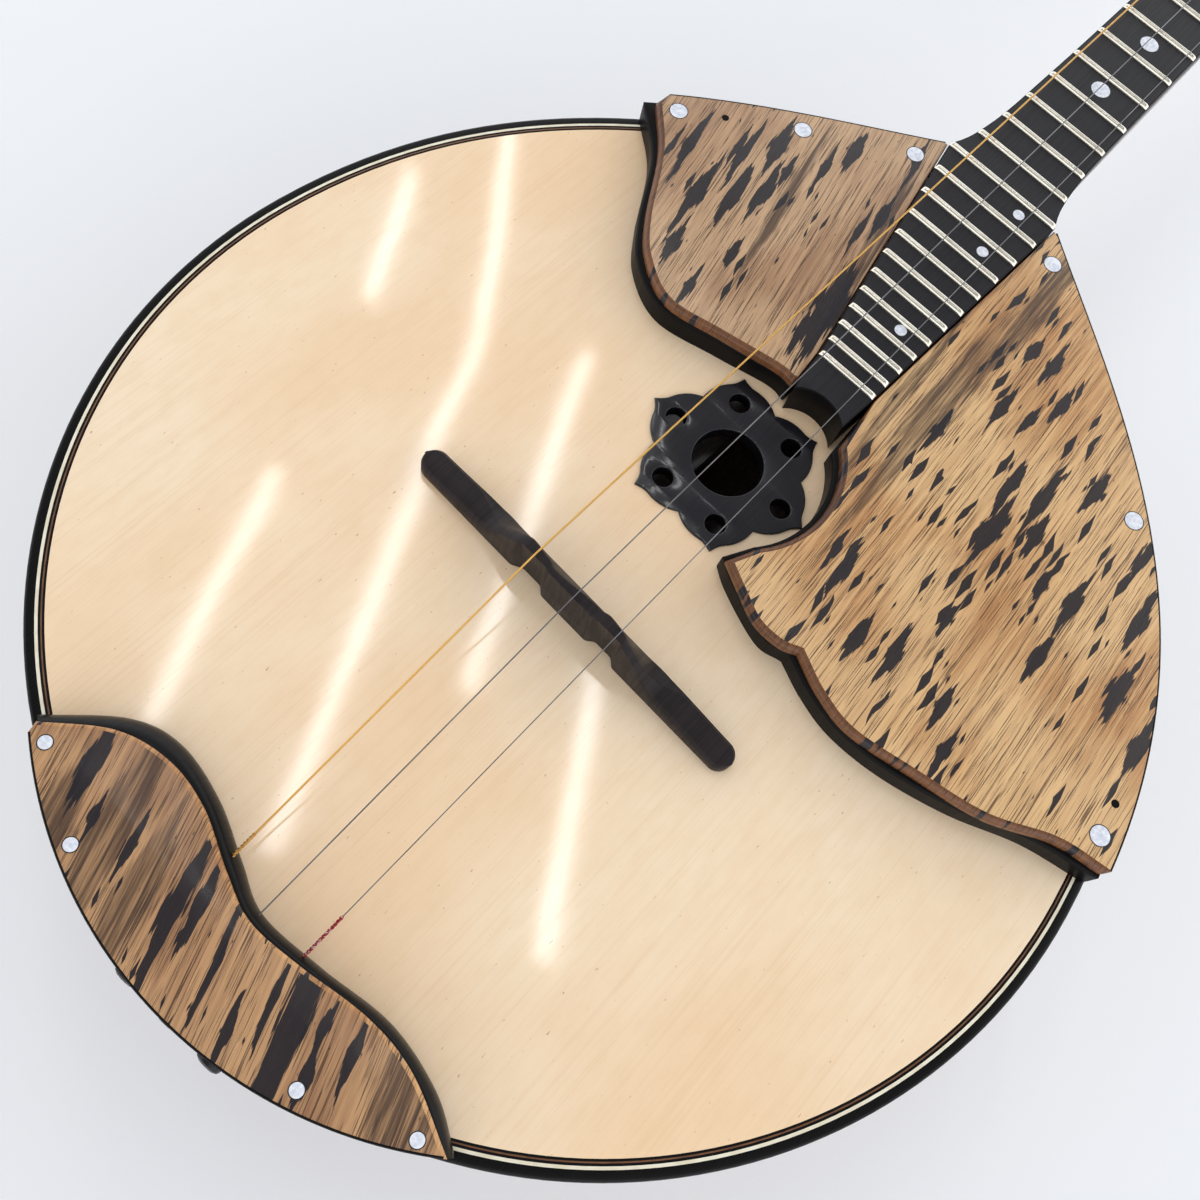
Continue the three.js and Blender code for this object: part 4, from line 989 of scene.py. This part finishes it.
def build_fingerboard():
    plan = board_plan()
    board = slab(plan, BOARD_BOTTOM, BOARD_TOP, 0.35, side_look=1)
    piece("board", board, ["board_ebony", "base_ebony"], replaces="fingerboard")
    on_body = [point for point in plan if point.y < JOINT_Y]
    piece("board_riser", slab(on_body, 0, BOARD_BOTTOM), "base_ebony", replaces="fingerboard_riser")
    for number in range(1, FRET_COUNT + 1):
        piece(f"fret_{number}", fret(number), "nickel")
    for number, x, y, radius in BOARD_DOTS:
        pearl_dot(f"board_dot_{number}", x, y, BOARD_TOP, radius)


# ---------------------------------------------------------------- guards and tail cover
BASS_WOOD = (
    (-1.6, 77.9), (-6.4, 78), (-21.3, 74.7), (-35.9, 71.9), (-47.2, 77.3), (-55, 86),
    (-65.5, 102.6), (-76, 113.6),
)
BASS_BASE = (
    (-1.4, 77.2), (-6.6, 77.6), (-20.5, 74), (-36.6, 70.6), (-49, 76), (-57.2, 85.6),
    (-67.5, 102), (-78.6, 111.6),
)
TREBLE_WOOD_HOOK = ((17.2, 32.2), (23.7, 29), (30.6, 26), (37.3, 25.9), (41.6, 27.6))
TREBLE_WOOD_WAVE = (
    (42.4, 27.2), (50.7, 23.6), (60.7, 21.8), (75.6, 24.3), (92.6, 27.9), (107, 34.8), (118.4, 37),
)
TREBLE_BASE_HOOK = ((15.2, 33.2), (19.6, 30.4), (28, 26.9), (34.5, 25.2), (39.4, 26.3))
TREBLE_BASE_WAVE = (
    (40.2, 26.4), (48.6, 23), (58.6, 20.9), (72, 21.8), (88, 25.9), (103.6, 32.2), (117.6, 35.4),
)
TAIL_WOOD = (
    (55.8, -92.6), (41.1, -86.7), (28.4, -85.5), (12, -87.7), (0, -88.4), (-9.8, -85.2),
    (-21.8, -80.1), (-33, -78.6), (-44.5, -81.6), (-56, -90.6),
)
TAIL_BASE = (
    (57.2, -91.6), (46.6, -86), (32, -83.3), (15.2, -85.2), (0, -86), (-10.2, -82),
    (-22.7, -76.8), (-35.7, -74.7), (-46.6, -78.2), (-59.2, -89.6),
)
TAIL_RADIUS = 96.3
TAIL_CENTRE = (0, -14.1)
GUARD_OVERHANG = 0.4
TIGHT_SHARE = 0.3
# The plates' rounded upper edges, how much further out the open ones stand at the bottom, and the
# rounding of the black bases.
GUARD_ROUNDING = 0.85
GUARD_FLARE = 0.5
BASE_ROUNDING = 0.9
BASE_INSET = 0.8
BASS_CORNERS = (117.5, 113)
TREBLE_CORNERS = (37.8, 36)
ROSETTE_GAPS = (2.4, 0.6)
GUARD_DOT = 2.25
TAIL_DOT = 1.4
KNOT = 0.95


# The outline and its rounding: little where it meets the rim and the board, full on the open edge.
def with_shares(tight, free):
    return tight + free, [TIGHT_SHARE] * len(tight) + [1] * len(free)


def bass_outline(edge, corner_y, overhang):
    rim = mirrored(shoulder_points(corner_y, overhang))
    beside_board = [
        Vector((-BOARD_FOOT[0] - BOARD_GAP, BOARD_FOOT[1])),
        Vector((BOARD_LEFT_X - BOARD_GAP, LAST_FRET_Y)),
        Vector((BOARD_END_LEFT_X - BOARD_GAP, 79.2)),
    ]
    return with_shares(rim[:-1] + beside_board, curve_through(edge))


def treble_outline(wave, hook, gap, corner_y, overhang):
    rim = shoulder_points(corner_y, overhang)
    past_rosette = arc(ROSETTE, ROSETTE_RADIUS + gap, 47, -38, 40)
    beside_board = [
        Vector((BOARD_FOOT[0] + BOARD_GAP, BOARD_FOOT[1])),
        Vector((BOARD_RIGHT_X + BOARD_GAP, LAST_FRET_Y)),
    ]
    return with_shares(rim[:-1] + beside_board, past_rosette + curve_through(hook) + curve_through(wave))


def tail_rim(radius):
    half = degrees(asin(55.2 / TAIL_RADIUS))
    return arc(TAIL_CENTRE, radius, -90 - half, -90 + half, 70)


# The thin black veneer on a guard's outer edge.
def rim_line(name, rim, overlap=0.3):
    inner = offset_open(rim, EDGE_LINE)
    sections = []
    for out, back in zip(rim, inner):
        sections.append([
            (out.x, out.y, GUARD_BASE_TOP - overlap), (out.x, out.y, GUARD_TOP - 0.2),
            (blend(out, back, 0.4).x, blend(out, back, 0.4).y, GUARD_TOP + 0.02),
            (back.x, back.y, GUARD_TOP + 0.02), (back.x, back.y, GUARD_BASE_TOP - overlap),
        ])
    piece(name, loft(sections), "moulding_ebony")


# The same open path, moved sideways towards the body's centre.
def offset_open(points, distance):
    centre = Vector((0, BODY_CENTRE_Y))
    moved = []
    for i, point in enumerate(points):
        along = (points[min(i + 1, len(points) - 1)] - points[max(i - 1, 0)]).normalized()
        normal = Vector((-along.y, along.x))
        if normal.dot(centre - point) < 0:
            normal = -normal
        moved.append(point + normal * distance)
    return moved


GUARD_DOTS = (
    (-70.8, 115.4), (-46, 135.9), (-21.6, 153.1), (23.2, 153.8), (78.2, 109.7), (113.4, 42.3),
)
KNOTS = ((112.1, 50.4), (-61.6, 123.1))
TAIL_DOTS = ((-51.4, -92.1), (-33.2, -101.2), (28, -102.4), (49.6, -93.9))


def build_guards():
    bass = bass_outline(BASS_WOOD, BASS_CORNERS[0], GUARD_OVERHANG)
    treble = treble_outline(
        TREBLE_WOOD_WAVE, TREBLE_WOOD_HOOK, ROSETTE_GAPS[0], TREBLE_CORNERS[0], GUARD_OVERHANG
    )
    tail = with_shares(tail_rim(TAIL_RADIUS), curve_through(TAIL_WOOD))
    for name, (outline, shares) in (("bass", bass), ("treble", treble)):
        flare = [GUARD_FLARE * (share - TIGHT_SHARE) / (1 - TIGHT_SHARE) for share in shares]
        outline = offset(outline, -1 if turning_left(outline) == outline else 1, flare)
        rounding = GUARD_ROUNDING + GUARD_FLARE
        shares = [(GUARD_ROUNDING * share + more) / rounding for share, more in zip(shares, flare)]
        plate = slab(outline, GUARD_BASE_TOP, GUARD_TOP, rounding, side_look=1, shares=shares)
        piece(f"{name}_guard_plate", plate, [f"guard_{name}", "guard_edge"], replaces=f"guard_{name}")
    plate = slab(tail[0], GUARD_BASE_TOP, GUARD_TOP, GUARD_ROUNDING, side_look=1, shares=tail[1])
    piece("tail_plate", plate, ["guard_tail", "tail_edge"], replaces="tail_cover")
    overhang = GUARD_OVERHANG - BASE_INSET
    low_bass = bass_outline(BASS_BASE, BASS_CORNERS[1], overhang)
    low_treble = treble_outline(
        TREBLE_BASE_WAVE, TREBLE_BASE_HOOK, ROSETTE_GAPS[1], TREBLE_CORNERS[1], overhang
    )
    for name, (outline, shares) in (("bass", low_bass), ("treble", low_treble)):
        base = slab(outline, 0, GUARD_BASE_TOP, BASE_ROUNDING, shares=shares)
        piece(f"{name}_guard_base", base, "base_ebony", replaces=f"guard_base_{name}")
    rim_line("bass_rim_line", mirrored(shoulder_points(BASS_CORNERS[0], GUARD_OVERHANG + 0.05)))
    rim_line("treble_rim_line", shoulder_points(TREBLE_CORNERS[0], GUARD_OVERHANG + 0.05))
    rim_line("tail_rim_line", tail_rim(TAIL_RADIUS + 0.05))
    for number, (x, y) in enumerate(KNOTS):
        knot = turned([(0, -0.5), (KNOT, -0.5), (KNOT, 0.01), (0, 0.02)], 24)
        piece(f"knot_{number}", knot, "base_ebony", place=at(x, y, GUARD_TOP), slot="pale_moon_ebony")
    for number, (x, y) in enumerate(GUARD_DOTS):
        pearl_dot(f"guard_dot_{number}", x, y, GUARD_TOP, GUARD_DOT)
    for number, (x, y) in enumerate(TAIL_DOTS):
        pearl_dot(f"tail_dot_{number}", x, y, GUARD_TOP, TAIL_DOT)
    build_tail_moulding()


# The point itself, or the nearest one that the tail cover hides.
def under_cover(point):
    away = point - Vector(TAIL_CENTRE)
    return Vector(TAIL_CENTRE) + away * min(1, (TAIL_RADIUS - 0.4) / away.length)


WALL_THICKNESS = 2.5
TREBLE_WALL_END = -94.5
BASS_WALL_END = -92.0


# The rounded black strip in front of the tail cover, with a frame behind it down to the soundboard.
def build_tail_moulding():
    front = resampled(curve_through(TAIL_BASE), 160)
    wood = resampled(curve_through(TAIL_WOOD), 160)
    sections = []
    for low, high in zip(front, wood):
        back = high + (high - low).normalized() * 3.0
        profile = [(low, 0.0), (low, 1.6)]
        for share, height in ((0.12, 3.1), (0.32, 4.5), (0.6, 5.6), (1.0, GUARD_BASE_TOP)):
            profile.append((blend(low, high, share), height))
        profile += [(back, GUARD_BASE_TOP), (back, 0.0)]
        sections.append([(p.x, p.y, z) for p, z in profile])
    shape = loft(sections)
    rim = arc((0, BODY_CENTRE_Y), BODY_RADIUS - BOARD_GAP, -151, -29, 90)
    for side in (-1, 1):
        wall = [under_cover(p) for p in rim if p.x * side > 18]
        inner = [p + (Vector((0, BODY_CENTRE_Y)) - p).normalized() * WALL_THICKNESS for p in wall]
        end = TREBLE_WALL_END if side > 0 else BASS_WALL_END
        walls = []
        for out, back in zip(wall, inner):
            if out.y < end:
                walls.append([
                    (out.x, out.y, 0), (out.x, out.y, GUARD_BASE_TOP),
                    (back.x, back.y, GUARD_BASE_TOP), (back.x, back.y, 0),
                ])
        shape.join(loft(walls))
    piece("tail_moulding", shape, "moulding_ebony", replaces="tail_cover_base")


# Points evenly spaced along an open path.
def resampled(points, count):
    lengths = [0.0]
    for a, b in zip(points, points[1:]):
        lengths.append(lengths[-1] + (b - a).length)
    result, step = [], 0
    for i in range(count):
        wanted = lengths[-1] * i / (count - 1)
        while step < len(points) - 2 and lengths[step + 1] < wanted:
            step += 1
        share = (wanted - lengths[step]) / max(1e-9, lengths[step + 1] - lengths[step])
        result.append(blend(points[step], points[step + 1], share))
    return result


# ---------------------------------------------------------------- bridge
WING_HEIGHT = 3.6
WING_RISE = 1.8
SCOOP_DEPTH = 1.5
ZIGZAG = 0.5


# Two flat wings and a raised middle, upright towards the tail and sloping towards the neck.
def bridge_section(x):
    half = BRIDGE_WIDTH / 2
    tip = max(0.0, abs(x) - (BRIDGE_HALF_LENGTH - half))
    width = sqrt(max(0.04, half ** 2 - tip ** 2))
    raised = smoothstep(-27, -13.5, -abs(x))
    leaning = smoothstep(-34, -19, -abs(x))
    wing = WING_HEIGHT + WING_RISE * smoothstep(-BRIDGE_HALF_LENGTH, -24, -abs(x))
    height = blend(wing, BRIDGE_HEIGHT, raised)
    scoop = SCOOP_DEPTH * smoothstep(-17, -13.5, x) * (1 - smoothstep(-9, -6.5, x))
    scoop += SCOOP_DEPTH * smoothstep(6.5, 9, x) * (1 - smoothstep(13, 15.5, x))
    tail = -width + scoop
    zigzag = ZIGZAG * sin(x * pi / 12)
    crest_end = blend(width - 0.7, -width + BRIDGE_CREST + scoop * 0.4 + zigzag, leaning)
    crest_start = blend(tail + 0.7, -width + 0.35, raised)
    neck_low = blend(height - 0.7, 4.4, leaning)
    return [
        (x, tail + 0.2, 0), (x, tail, 0.3), (x, tail, blend(height - 0.8, 6.0, raised)),
        (x, blend(tail + 0.25, -width + scoop * 0.4, raised), height - 0.35),
        (x, crest_start, height), (x, blend(crest_start, crest_end, 0.5), height + 0.05),
        (x, crest_end, height), (x, crest_end + 0.35, height - 0.4),
        (x, width, neck_low), (x, width, 0.3), (x, width - 0.2, 0),
    ]


def build_bridge():
    tips = [BRIDGE_HALF_LENGTH - 3.2 * (1 - cos(pi / 2 * i / 14)) for i in range(14)]
    middle = [blend(-44.3, 44.3, i / 180) for i in range(181)]
    xs = [-x for x in tips] + middle + tips[::-1]
    turn = at(*BRIDGE_CENTRE, 0) @ Matrix.Rotation(radians(BRIDGE_TURN), 4, "Z")
    bridge = loft([bridge_section(x) for x in xs])
    piece("carved_bridge", bridge, "bridge_ebony", place=turn, replaces="bridge", crease=42)


# ---------------------------------------------------------------- neck, nut and head
NECK_KEYS = (
    (JOINT_Y + 0.3, 17.2, -39), (168, 15.2, -35), (175, 14, -27), (184, 13.2, -19),
    (200, 12.8, -14.5), (300, 12, -11.5), (NUT_Y, NUT_HALF_WIDTH, -9), (408.4, NUT_HALF_WIDTH, -9),
)


def build_neck():
    sections = []
    for y, half_width, bottom in curve_through(NECK_KEYS, 2.5):
        shelf = min(0.0, bottom + half_width)
        ring = [(-half_width, y, BOARD_BOTTOM), (half_width, y, BOARD_BOTTOM)]
        for i in range(25):
            angle = pi * i / 24
            ring.append((half_width * cos(angle), y, shelf + (bottom - shelf) * sin(angle)))
        sections.append(ring)
    piece("neck_shaft", loft(sections), "neck_wood", replaces="neck")


def build_nut():
    xs = [blend(-NUT_HALF_WIDTH, NUT_HALF_WIDTH, i / 120) for i in range(121)]
    sections = []
    for x in xs:
        offs = [(x - side * SPACING_NUT) / (radius + 0.1) for _, side, radius in STRINGS]
        slot = max(0.0, *(1 - off ** 2 for off in offs))
        rounding = 0.5 * smoothstep(NUT_HALF_WIDTH - 0.8, NUT_HALF_WIDTH, abs(x))
        top = NUT_TOP - 0.25 * sqrt(slot) - rounding
        sections.append([
            (x, NUT_Y + 0.1, BOARD_BOTTOM), (x, NUT_Y + 0.1, top - 0.2), (x, NUT_Y + 0.35, top),
            (x, NUT_Y + 1.4, top - 0.05), (x, NUT_Y + 3.6, top - 1.2), (x, NUT_Y + 4, top - 1.8),
            (x, NUT_Y + 4, BOARD_BOTTOM),
        ])
    piece("string_nut", loft(sections), "bone", replaces="nut")


def head_outline():
    treble = curve_through([
        (12, 0), (13.4, 8), (19.5, 19), (21.6, 34), (21, 62), (22.6, 90), (23.6, 104), (15, 110.5),
        (7, 113.5), (0, HEAD_LENGTH),
    ], 1.2)
    return treble + mirrored(treble[:-1][::-1])


def post_holes():
    return [arc((TUNER_X, y), 3.3, 0, 350, 35) for y in TUNER_YS]


def build_head():
    outline = head_outline()
    plate = slab(outline, -HEAD_THICKNESS, 0, 0.0, 1.6, post_holes())
    piece("head_plate", plate, "neck_wood", place=HEAD, replaces="headstock")
    front = [Vector((p.x, max(p.y, 0.7))) for p in outline]
    veneer = slab(front, 0, VENEER, 0.45, 0, post_holes())
    piece("head_front", veneer, "lacquered_ebony", place=HEAD, replaces="head_veneer")


def rounded_plate(low, high, corner):
    left, right = low[0] + corner, high[0] - corner
    near, far = low[1] + corner, high[1] - corner
    points = []
    for quarter, centre in enumerate(((right, far), (left, far), (left, near), (right, near))):
        points += arc(centre, corner, 90 * quarter, 90 * quarter + 90, 10)
    return points


EAR_OFFSET = 6.3
EAR_HALF = 2.8


def build_tuner_plate():
    low = (TUNER_X - 9, TUNER_YS[0] - 16)
    high = (TUNER_X + 9, TUNER_YS[-1] + 12)
    shape = slab(rounded_plate(low, high, 3), PLATE_BACK, -HEAD_THICKNESS, 0, 0.3, post_holes())
    for y in TUNER_YS:
        worm_y = y - WORM_DISTANCE
        for side in (-EAR_OFFSET, EAR_OFFSET):
            shape.join(ear(TUNER_X + side, worm_y))
    piece("tuner_strip", shape, "brass", place=HEAD, replaces="tuner_plate")
    spots = [(TUNER_X + dx, y) for dx in (-6.5, 6.5) for y in (low[1] + 3, high[1] - 3)]
    for number, (x, y) in enumerate(spots):
        dome = [(0, 0.9), (0.7, 0.85), (1.4, 0.6), (1.9, 0.15), (1.95, 0), (0, -0.2)]
        seat = at(x, y, PLATE_BACK, HEAD) @ Matrix.Rotation(pi, 4, "X")
        piece(f"plate_screw_{number}", turned(dome, 24), "brass", place=seat)


# A bearing ear: rounded above the shaft, with a round hole for it.
def ear(x, worm_y):
    outer = [Vector((worm_y - EAR_HALF, PLATE_BACK + 0.2)), Vector((worm_y - EAR_HALF, WORM_Z))]
    outer += arc((worm_y, WORM_Z), EAR_HALF, 180, 360, 18)[1:]
    outer.append(Vector((worm_y + EAR_HALF, PLATE_BACK + 0.2)))
    hole = arc((worm_y, WORM_Z), 1.5, 0, 345, 23)
    flat = slab(outer, -0.8, 0.8, 0.15, 0.15, [hole])
    stood = Shape()
    return stood.add([(x + p.z, p.x, p.y) for p in flat.points], flat.faces)


# ---------------------------------------------------------------- tuners
def worm():
    core = tube([(x, 0, 0) for x in (-5.2, -4.9, 4.9, 5.2)], [1.2, 1.7, 1.7, 1.2], 28)
    steps_per_turn, reach = 28, 3.3
    steps = round(2 * reach / WORM_LEAD * steps_per_turn)
    rings = []
    for i in range(steps + 1):
        turn = 2 * pi * (i - steps / 2) / steps_per_turn
        x = WORM_LEAD * turn / (2 * pi)
        taper = smoothstep(0, 8, min(i, steps - i))
        tip = blend(1.5, WORM_PITCH_RADIUS + 0.6, taper)
        corners = ((-0.75, 1.4), (-0.18, tip), (0.18, tip), (0.75, 1.4))
        rings.append([(x + dx, r * cos(turn), r * sin(turn)) for dx, r in corners])
    return core.join(loft(rings))


def worm_shaft():
    inner = BUTTON_X + 0.3 - TUNER_X
    shape = worm().join(tube([(inner, 0, 0), (8, 0, 0)], 1.2, 24))
    shape.join(tube([(7.2, 0, 0), (7.3, 0, 0), (7.9, 0, 0), (8, 0, 0)], [1.9, 2.2, 2.2, 1.9], 24))
    collar = [(inner, 0, 0), (inner + 0.2, 0, 0), (inner + 2.0, 0, 0), (inner + 2.4, 0, 0)]
    return shape.join(tube(collar, [2.0, 2.2, 1.9, 1.3], 28))


def button():
    keys = [
        (0, 2.4, 2.4), (1, 2.6, 2.5), (2, 3, 2.8), (5, 6.2, 3.2), (9.5, 8.2, 3.4), (13, 6.6, 3),
        (14.2, 4.4, 2.2), (14.6, 2.6, 1.4),
    ]
    sections = []
    for out, half_y, half_z in curve_through(keys, 0.5):
        sections.append([(-out, half_y * cos(a), half_z * sin(a)) for a in full_turn(36)])
    return loft(sections)


def worm_wheel():
    lean = WORM_LEAD / (2 * pi * WORM_PITCH_RADIUS) / WHEEL_PITCH_RADIUS
    tip, root = WHEEL_PITCH_RADIUS + 0.6, WHEEL_PITCH_RADIUS - 0.85
    flank = ((-0.76, root), (-0.3, tip - 0.12), (-0.2, tip), (0.2, tip), (0.3, tip - 0.12), (0.76, root))

    def ring(z):
        points = []
        for tooth in range(WHEEL_TEETH):
            middle = -pi / 2 + (tooth + 0.5) * 2 * pi / WHEEL_TEETH + lean * z
            for half, radius in flank:
                angle = middle + half / radius
                points.append((radius * cos(angle), radius * sin(angle), z))
        return points

    return loft([ring(z) for z in (-1.4, -0.7, 0, 0.7, 1.4)])


def tuner_post():
    profile = [
        (0, WORM_Z - 2.4), (1.7, WORM_Z - 2.4), (2, WORM_Z - 2.1), (2, WORM_Z + 1.7), (3, WORM_Z + 1.7),
        (3, 4.8), (2.8, 5.4), (2.5, 6.2), (2.5, 9.2), (2.75, 9.9), (3, 10.5), (3, 13), (2.8, 13.6),
        (2.2, 13.95), (1.2, 14), (0, 14),
    ]
    return turned(profile, 40)


def wire_look(name):
    return "bronze_wire" if name == "bass" else "steel_wire"


# Turns of wire lying against each other down the post's waist, ending where the string arrives.
def coil(radius):
    lane = 2.5 + radius
    rise = 2 * radius
    turns = min(4.0, 2.3 / rise)
    steps = round(turns * 28)
    route = []
    for i in range(steps + 1):
        angle = 2 * pi * turns * i / steps
        route.append((lane * cos(angle), lane * sin(angle), 6.5 + radius + rise * turns * i / steps))
    return tube(route, radius, 10)


def build_tuners():
    for (name, _, radius), y in zip(STRINGS, TUNER_YS):
        worm_y = y - WORM_DISTANCE
        at_worm = at(TUNER_X, worm_y, WORM_Z, HEAD)
        at_button = at(BUTTON_X, worm_y, WORM_Z, HEAD)
        at_post = at(TUNER_X, y, 0, HEAD)
        at_wheel = at(TUNER_X, y, WORM_Z, HEAD)
        key, post = f"key_{name}", f"post_{name}"
        piece(f"worm_{name}", worm_shaft(), "brass", key, at_worm, f"worm_shaft_{name}")
        piece(f"knob_{name}", button(), "bone", key, at_button, f"button_{name}")
        piece(f"wheel_{name}", worm_wheel(), "brass", post, at_wheel, f"worm_wheel_{name}")
        piece(f"peg_{name}", tuner_post(), "nickel", post, at_post, f"post_{name}")
        piece(f"winding_{name}", coil(radius), wire_look(name), post, at_post, f"string_coil_{name}")
        washer = ((3.05, 0), (4.3, 0), (4.2, 0.5), (3.3, 0.8), (3.05, 0.6))
        bush = turned_ring([(radius, VENEER + z) for radius, z in washer], 36)
        piece(f"bush_{name}", bush, "nickel", place=at_post)


# ---------------------------------------------------------------- strings and tail
def string_route(side, radius, tuner_y):
    clear = radius + 0.15
    shift = (side * SPACING_BRIDGE - BRIDGE_CENTRE[0]) * sin(radians(BRIDGE_TURN))
    crest = BRIDGE_CENTRE[1] - BRIDGE_WIDTH / 2 + shift
    coil_side = TUNER_X + 2.5 + radius
    return [
        Vector((side * SPACING_TAIL, -108.7, PIN_Z + 2.2)),
        Vector((side * SPACING_TAIL, -108.4, -0.6)),
        Vector((side * SPACING_TAIL, -106.6, SADDLE_TOP + clear)),
        Vector((side * SPACING_TAIL, -104.6, SADDLE_TOP + clear + 0.1)),
        Vector((side * SPACING_BRIDGE, crest - 0.3, BRIDGE_HEIGHT + clear)),
        Vector((side * SPACING_BRIDGE, crest + BRIDGE_CREST + 0.3, BRIDGE_HEIGHT + clear)),
        Vector((side * SPACING_NUT, NUT_Y, NUT_TOP + clear - 0.2)),
        Vector((side * SPACING_NUT, NUT_Y + 1.2, NUT_TOP + clear - 0.2)),
        ON_HEAD @ Vector((coil_side, tuner_y, 7.5)),
    ]


# Corners get a few close points, so that the wire bends instead of folding.
def eased(route, reach=0.8):
    result = [route[0]]
    for before, here, after in zip(route, route[1:], route[2:]):
        back = here + (before - here).normalized() * min(reach, (before - here).length / 2.5)
        on = here + (after - here).normalized() * min(reach, (after - here).length / 2.5)
        for i in range(5):
            t = i / 4
            result.append(back * (1 - t) ** 2 + here * 2 * t * (1 - t) + on * t * t)
    return [*result, route[-1]]


# Two strands twisted round a straight stretch.
def twist(start, end, strand, reach, turns):
    axis = (end - start).normalized()
    up = axis.orthogonal().normalized()
    side = axis.cross(up)
    shape = Shape()
    for phase in (0, pi):
        route = []
        for i in range(turns * 12 + 1):
            share = i / (turns * 12)
            angle = 2 * pi * turns * share + phase
            route.append(blend(start, end, share) + (up * cos(angle) + side * sin(angle)) * reach)
        shape.join(tube(route, strand, 7))
    return shape


def string_point(route, y):
    return blend(route[3], route[4], (y - route[3].y) / (route[4].y - route[3].y))


def build_strings():
    for (name, side, radius), tuner_y in zip(STRINGS, TUNER_YS):
        route = string_route(side, radius, tuner_y)
        shape = tube(eased(route), radius, 12)
        piece(f"wire_{name}", shape, wire_look(name), replaces=f"string_{name}")
        if name == "bass":
            ends = string_point(route, -84), string_point(route, -76.5)
            piece("bass_end_twist", twist(*ends, 0.12, 0.3, 5), "bronze_wire")
        if name == "treble":
            ends = string_point(route, -88), string_point(route, -76)
            piece("treble_end_silk", twist(*ends, 0.2, 0.19, 8), "silk")


# A string's loop: its inner radius, and its place along the tail pin.
LOOP_RADIUS = 1.6
LOOP_PLACE = 108.7
SADDLE = ((-16, -106.2), (16, -106.2), (16, -103.4), (-16, -103.4))


def build_tail_parts():
    profile = [
        (0, 94), (1.7, 94), (1.7, 107.6), (1.35, 108), (1.25, 108.7), (1.4, 109.4), (2.5, 109.8),
        (2.9, 110.5), (2.95, 111.2), (2.7, 111.9), (1.9, 112.3), (0, 112.4),
    ]
    for name, side, radius in STRINGS:
        spot = at(side * SPACING_TAIL, 0, PIN_Z) @ Matrix.Rotation(pi / 2, 4, "X")
        piece(f"pin_{name}", turned(profile, 32), "ebony", place=spot, replaces=f"tail_pin_{name}")
        lane = LOOP_RADIUS + radius
        wire = [(lane + radius * cos(a), LOOP_PLACE + radius * sin(a)) for a in full_turn(8)]
        piece(f"loop_{name}", turned_ring(wire, 24), wire_look(name), place=spot)
    saddle = slab([Vector(corner) for corner in SADDLE], 0, SADDLE_TOP, 0.4)
    piece("string_saddle", saddle, "ebony", replaces="tail_saddle")


def add_floor():
    mesh = bpy.data.meshes.new("floor")
    corners = [(x * FLOOR_HALF, y * FLOOR_HALF, 0) for x, y in ((-1, -1), (1, -1), (1, 1), (-1, 1))]
    mesh.from_pydata(corners, [], [(0, 1, 2, 3)])
    mesh.materials.append(pale_floor())
    floor = bpy.data.objects.new("floor", mesh)
    bpy.context.collection.objects.link(floor)


add_camera()
add_lights()
add_floor()
build_bowl()
build_tail_cap()
build_top()
build_fingerboard()
build_guards()
build_bridge()
build_neck()
build_nut()
build_head()
build_tuner_plate()
build_tuners()
build_tail_parts()
build_strings()
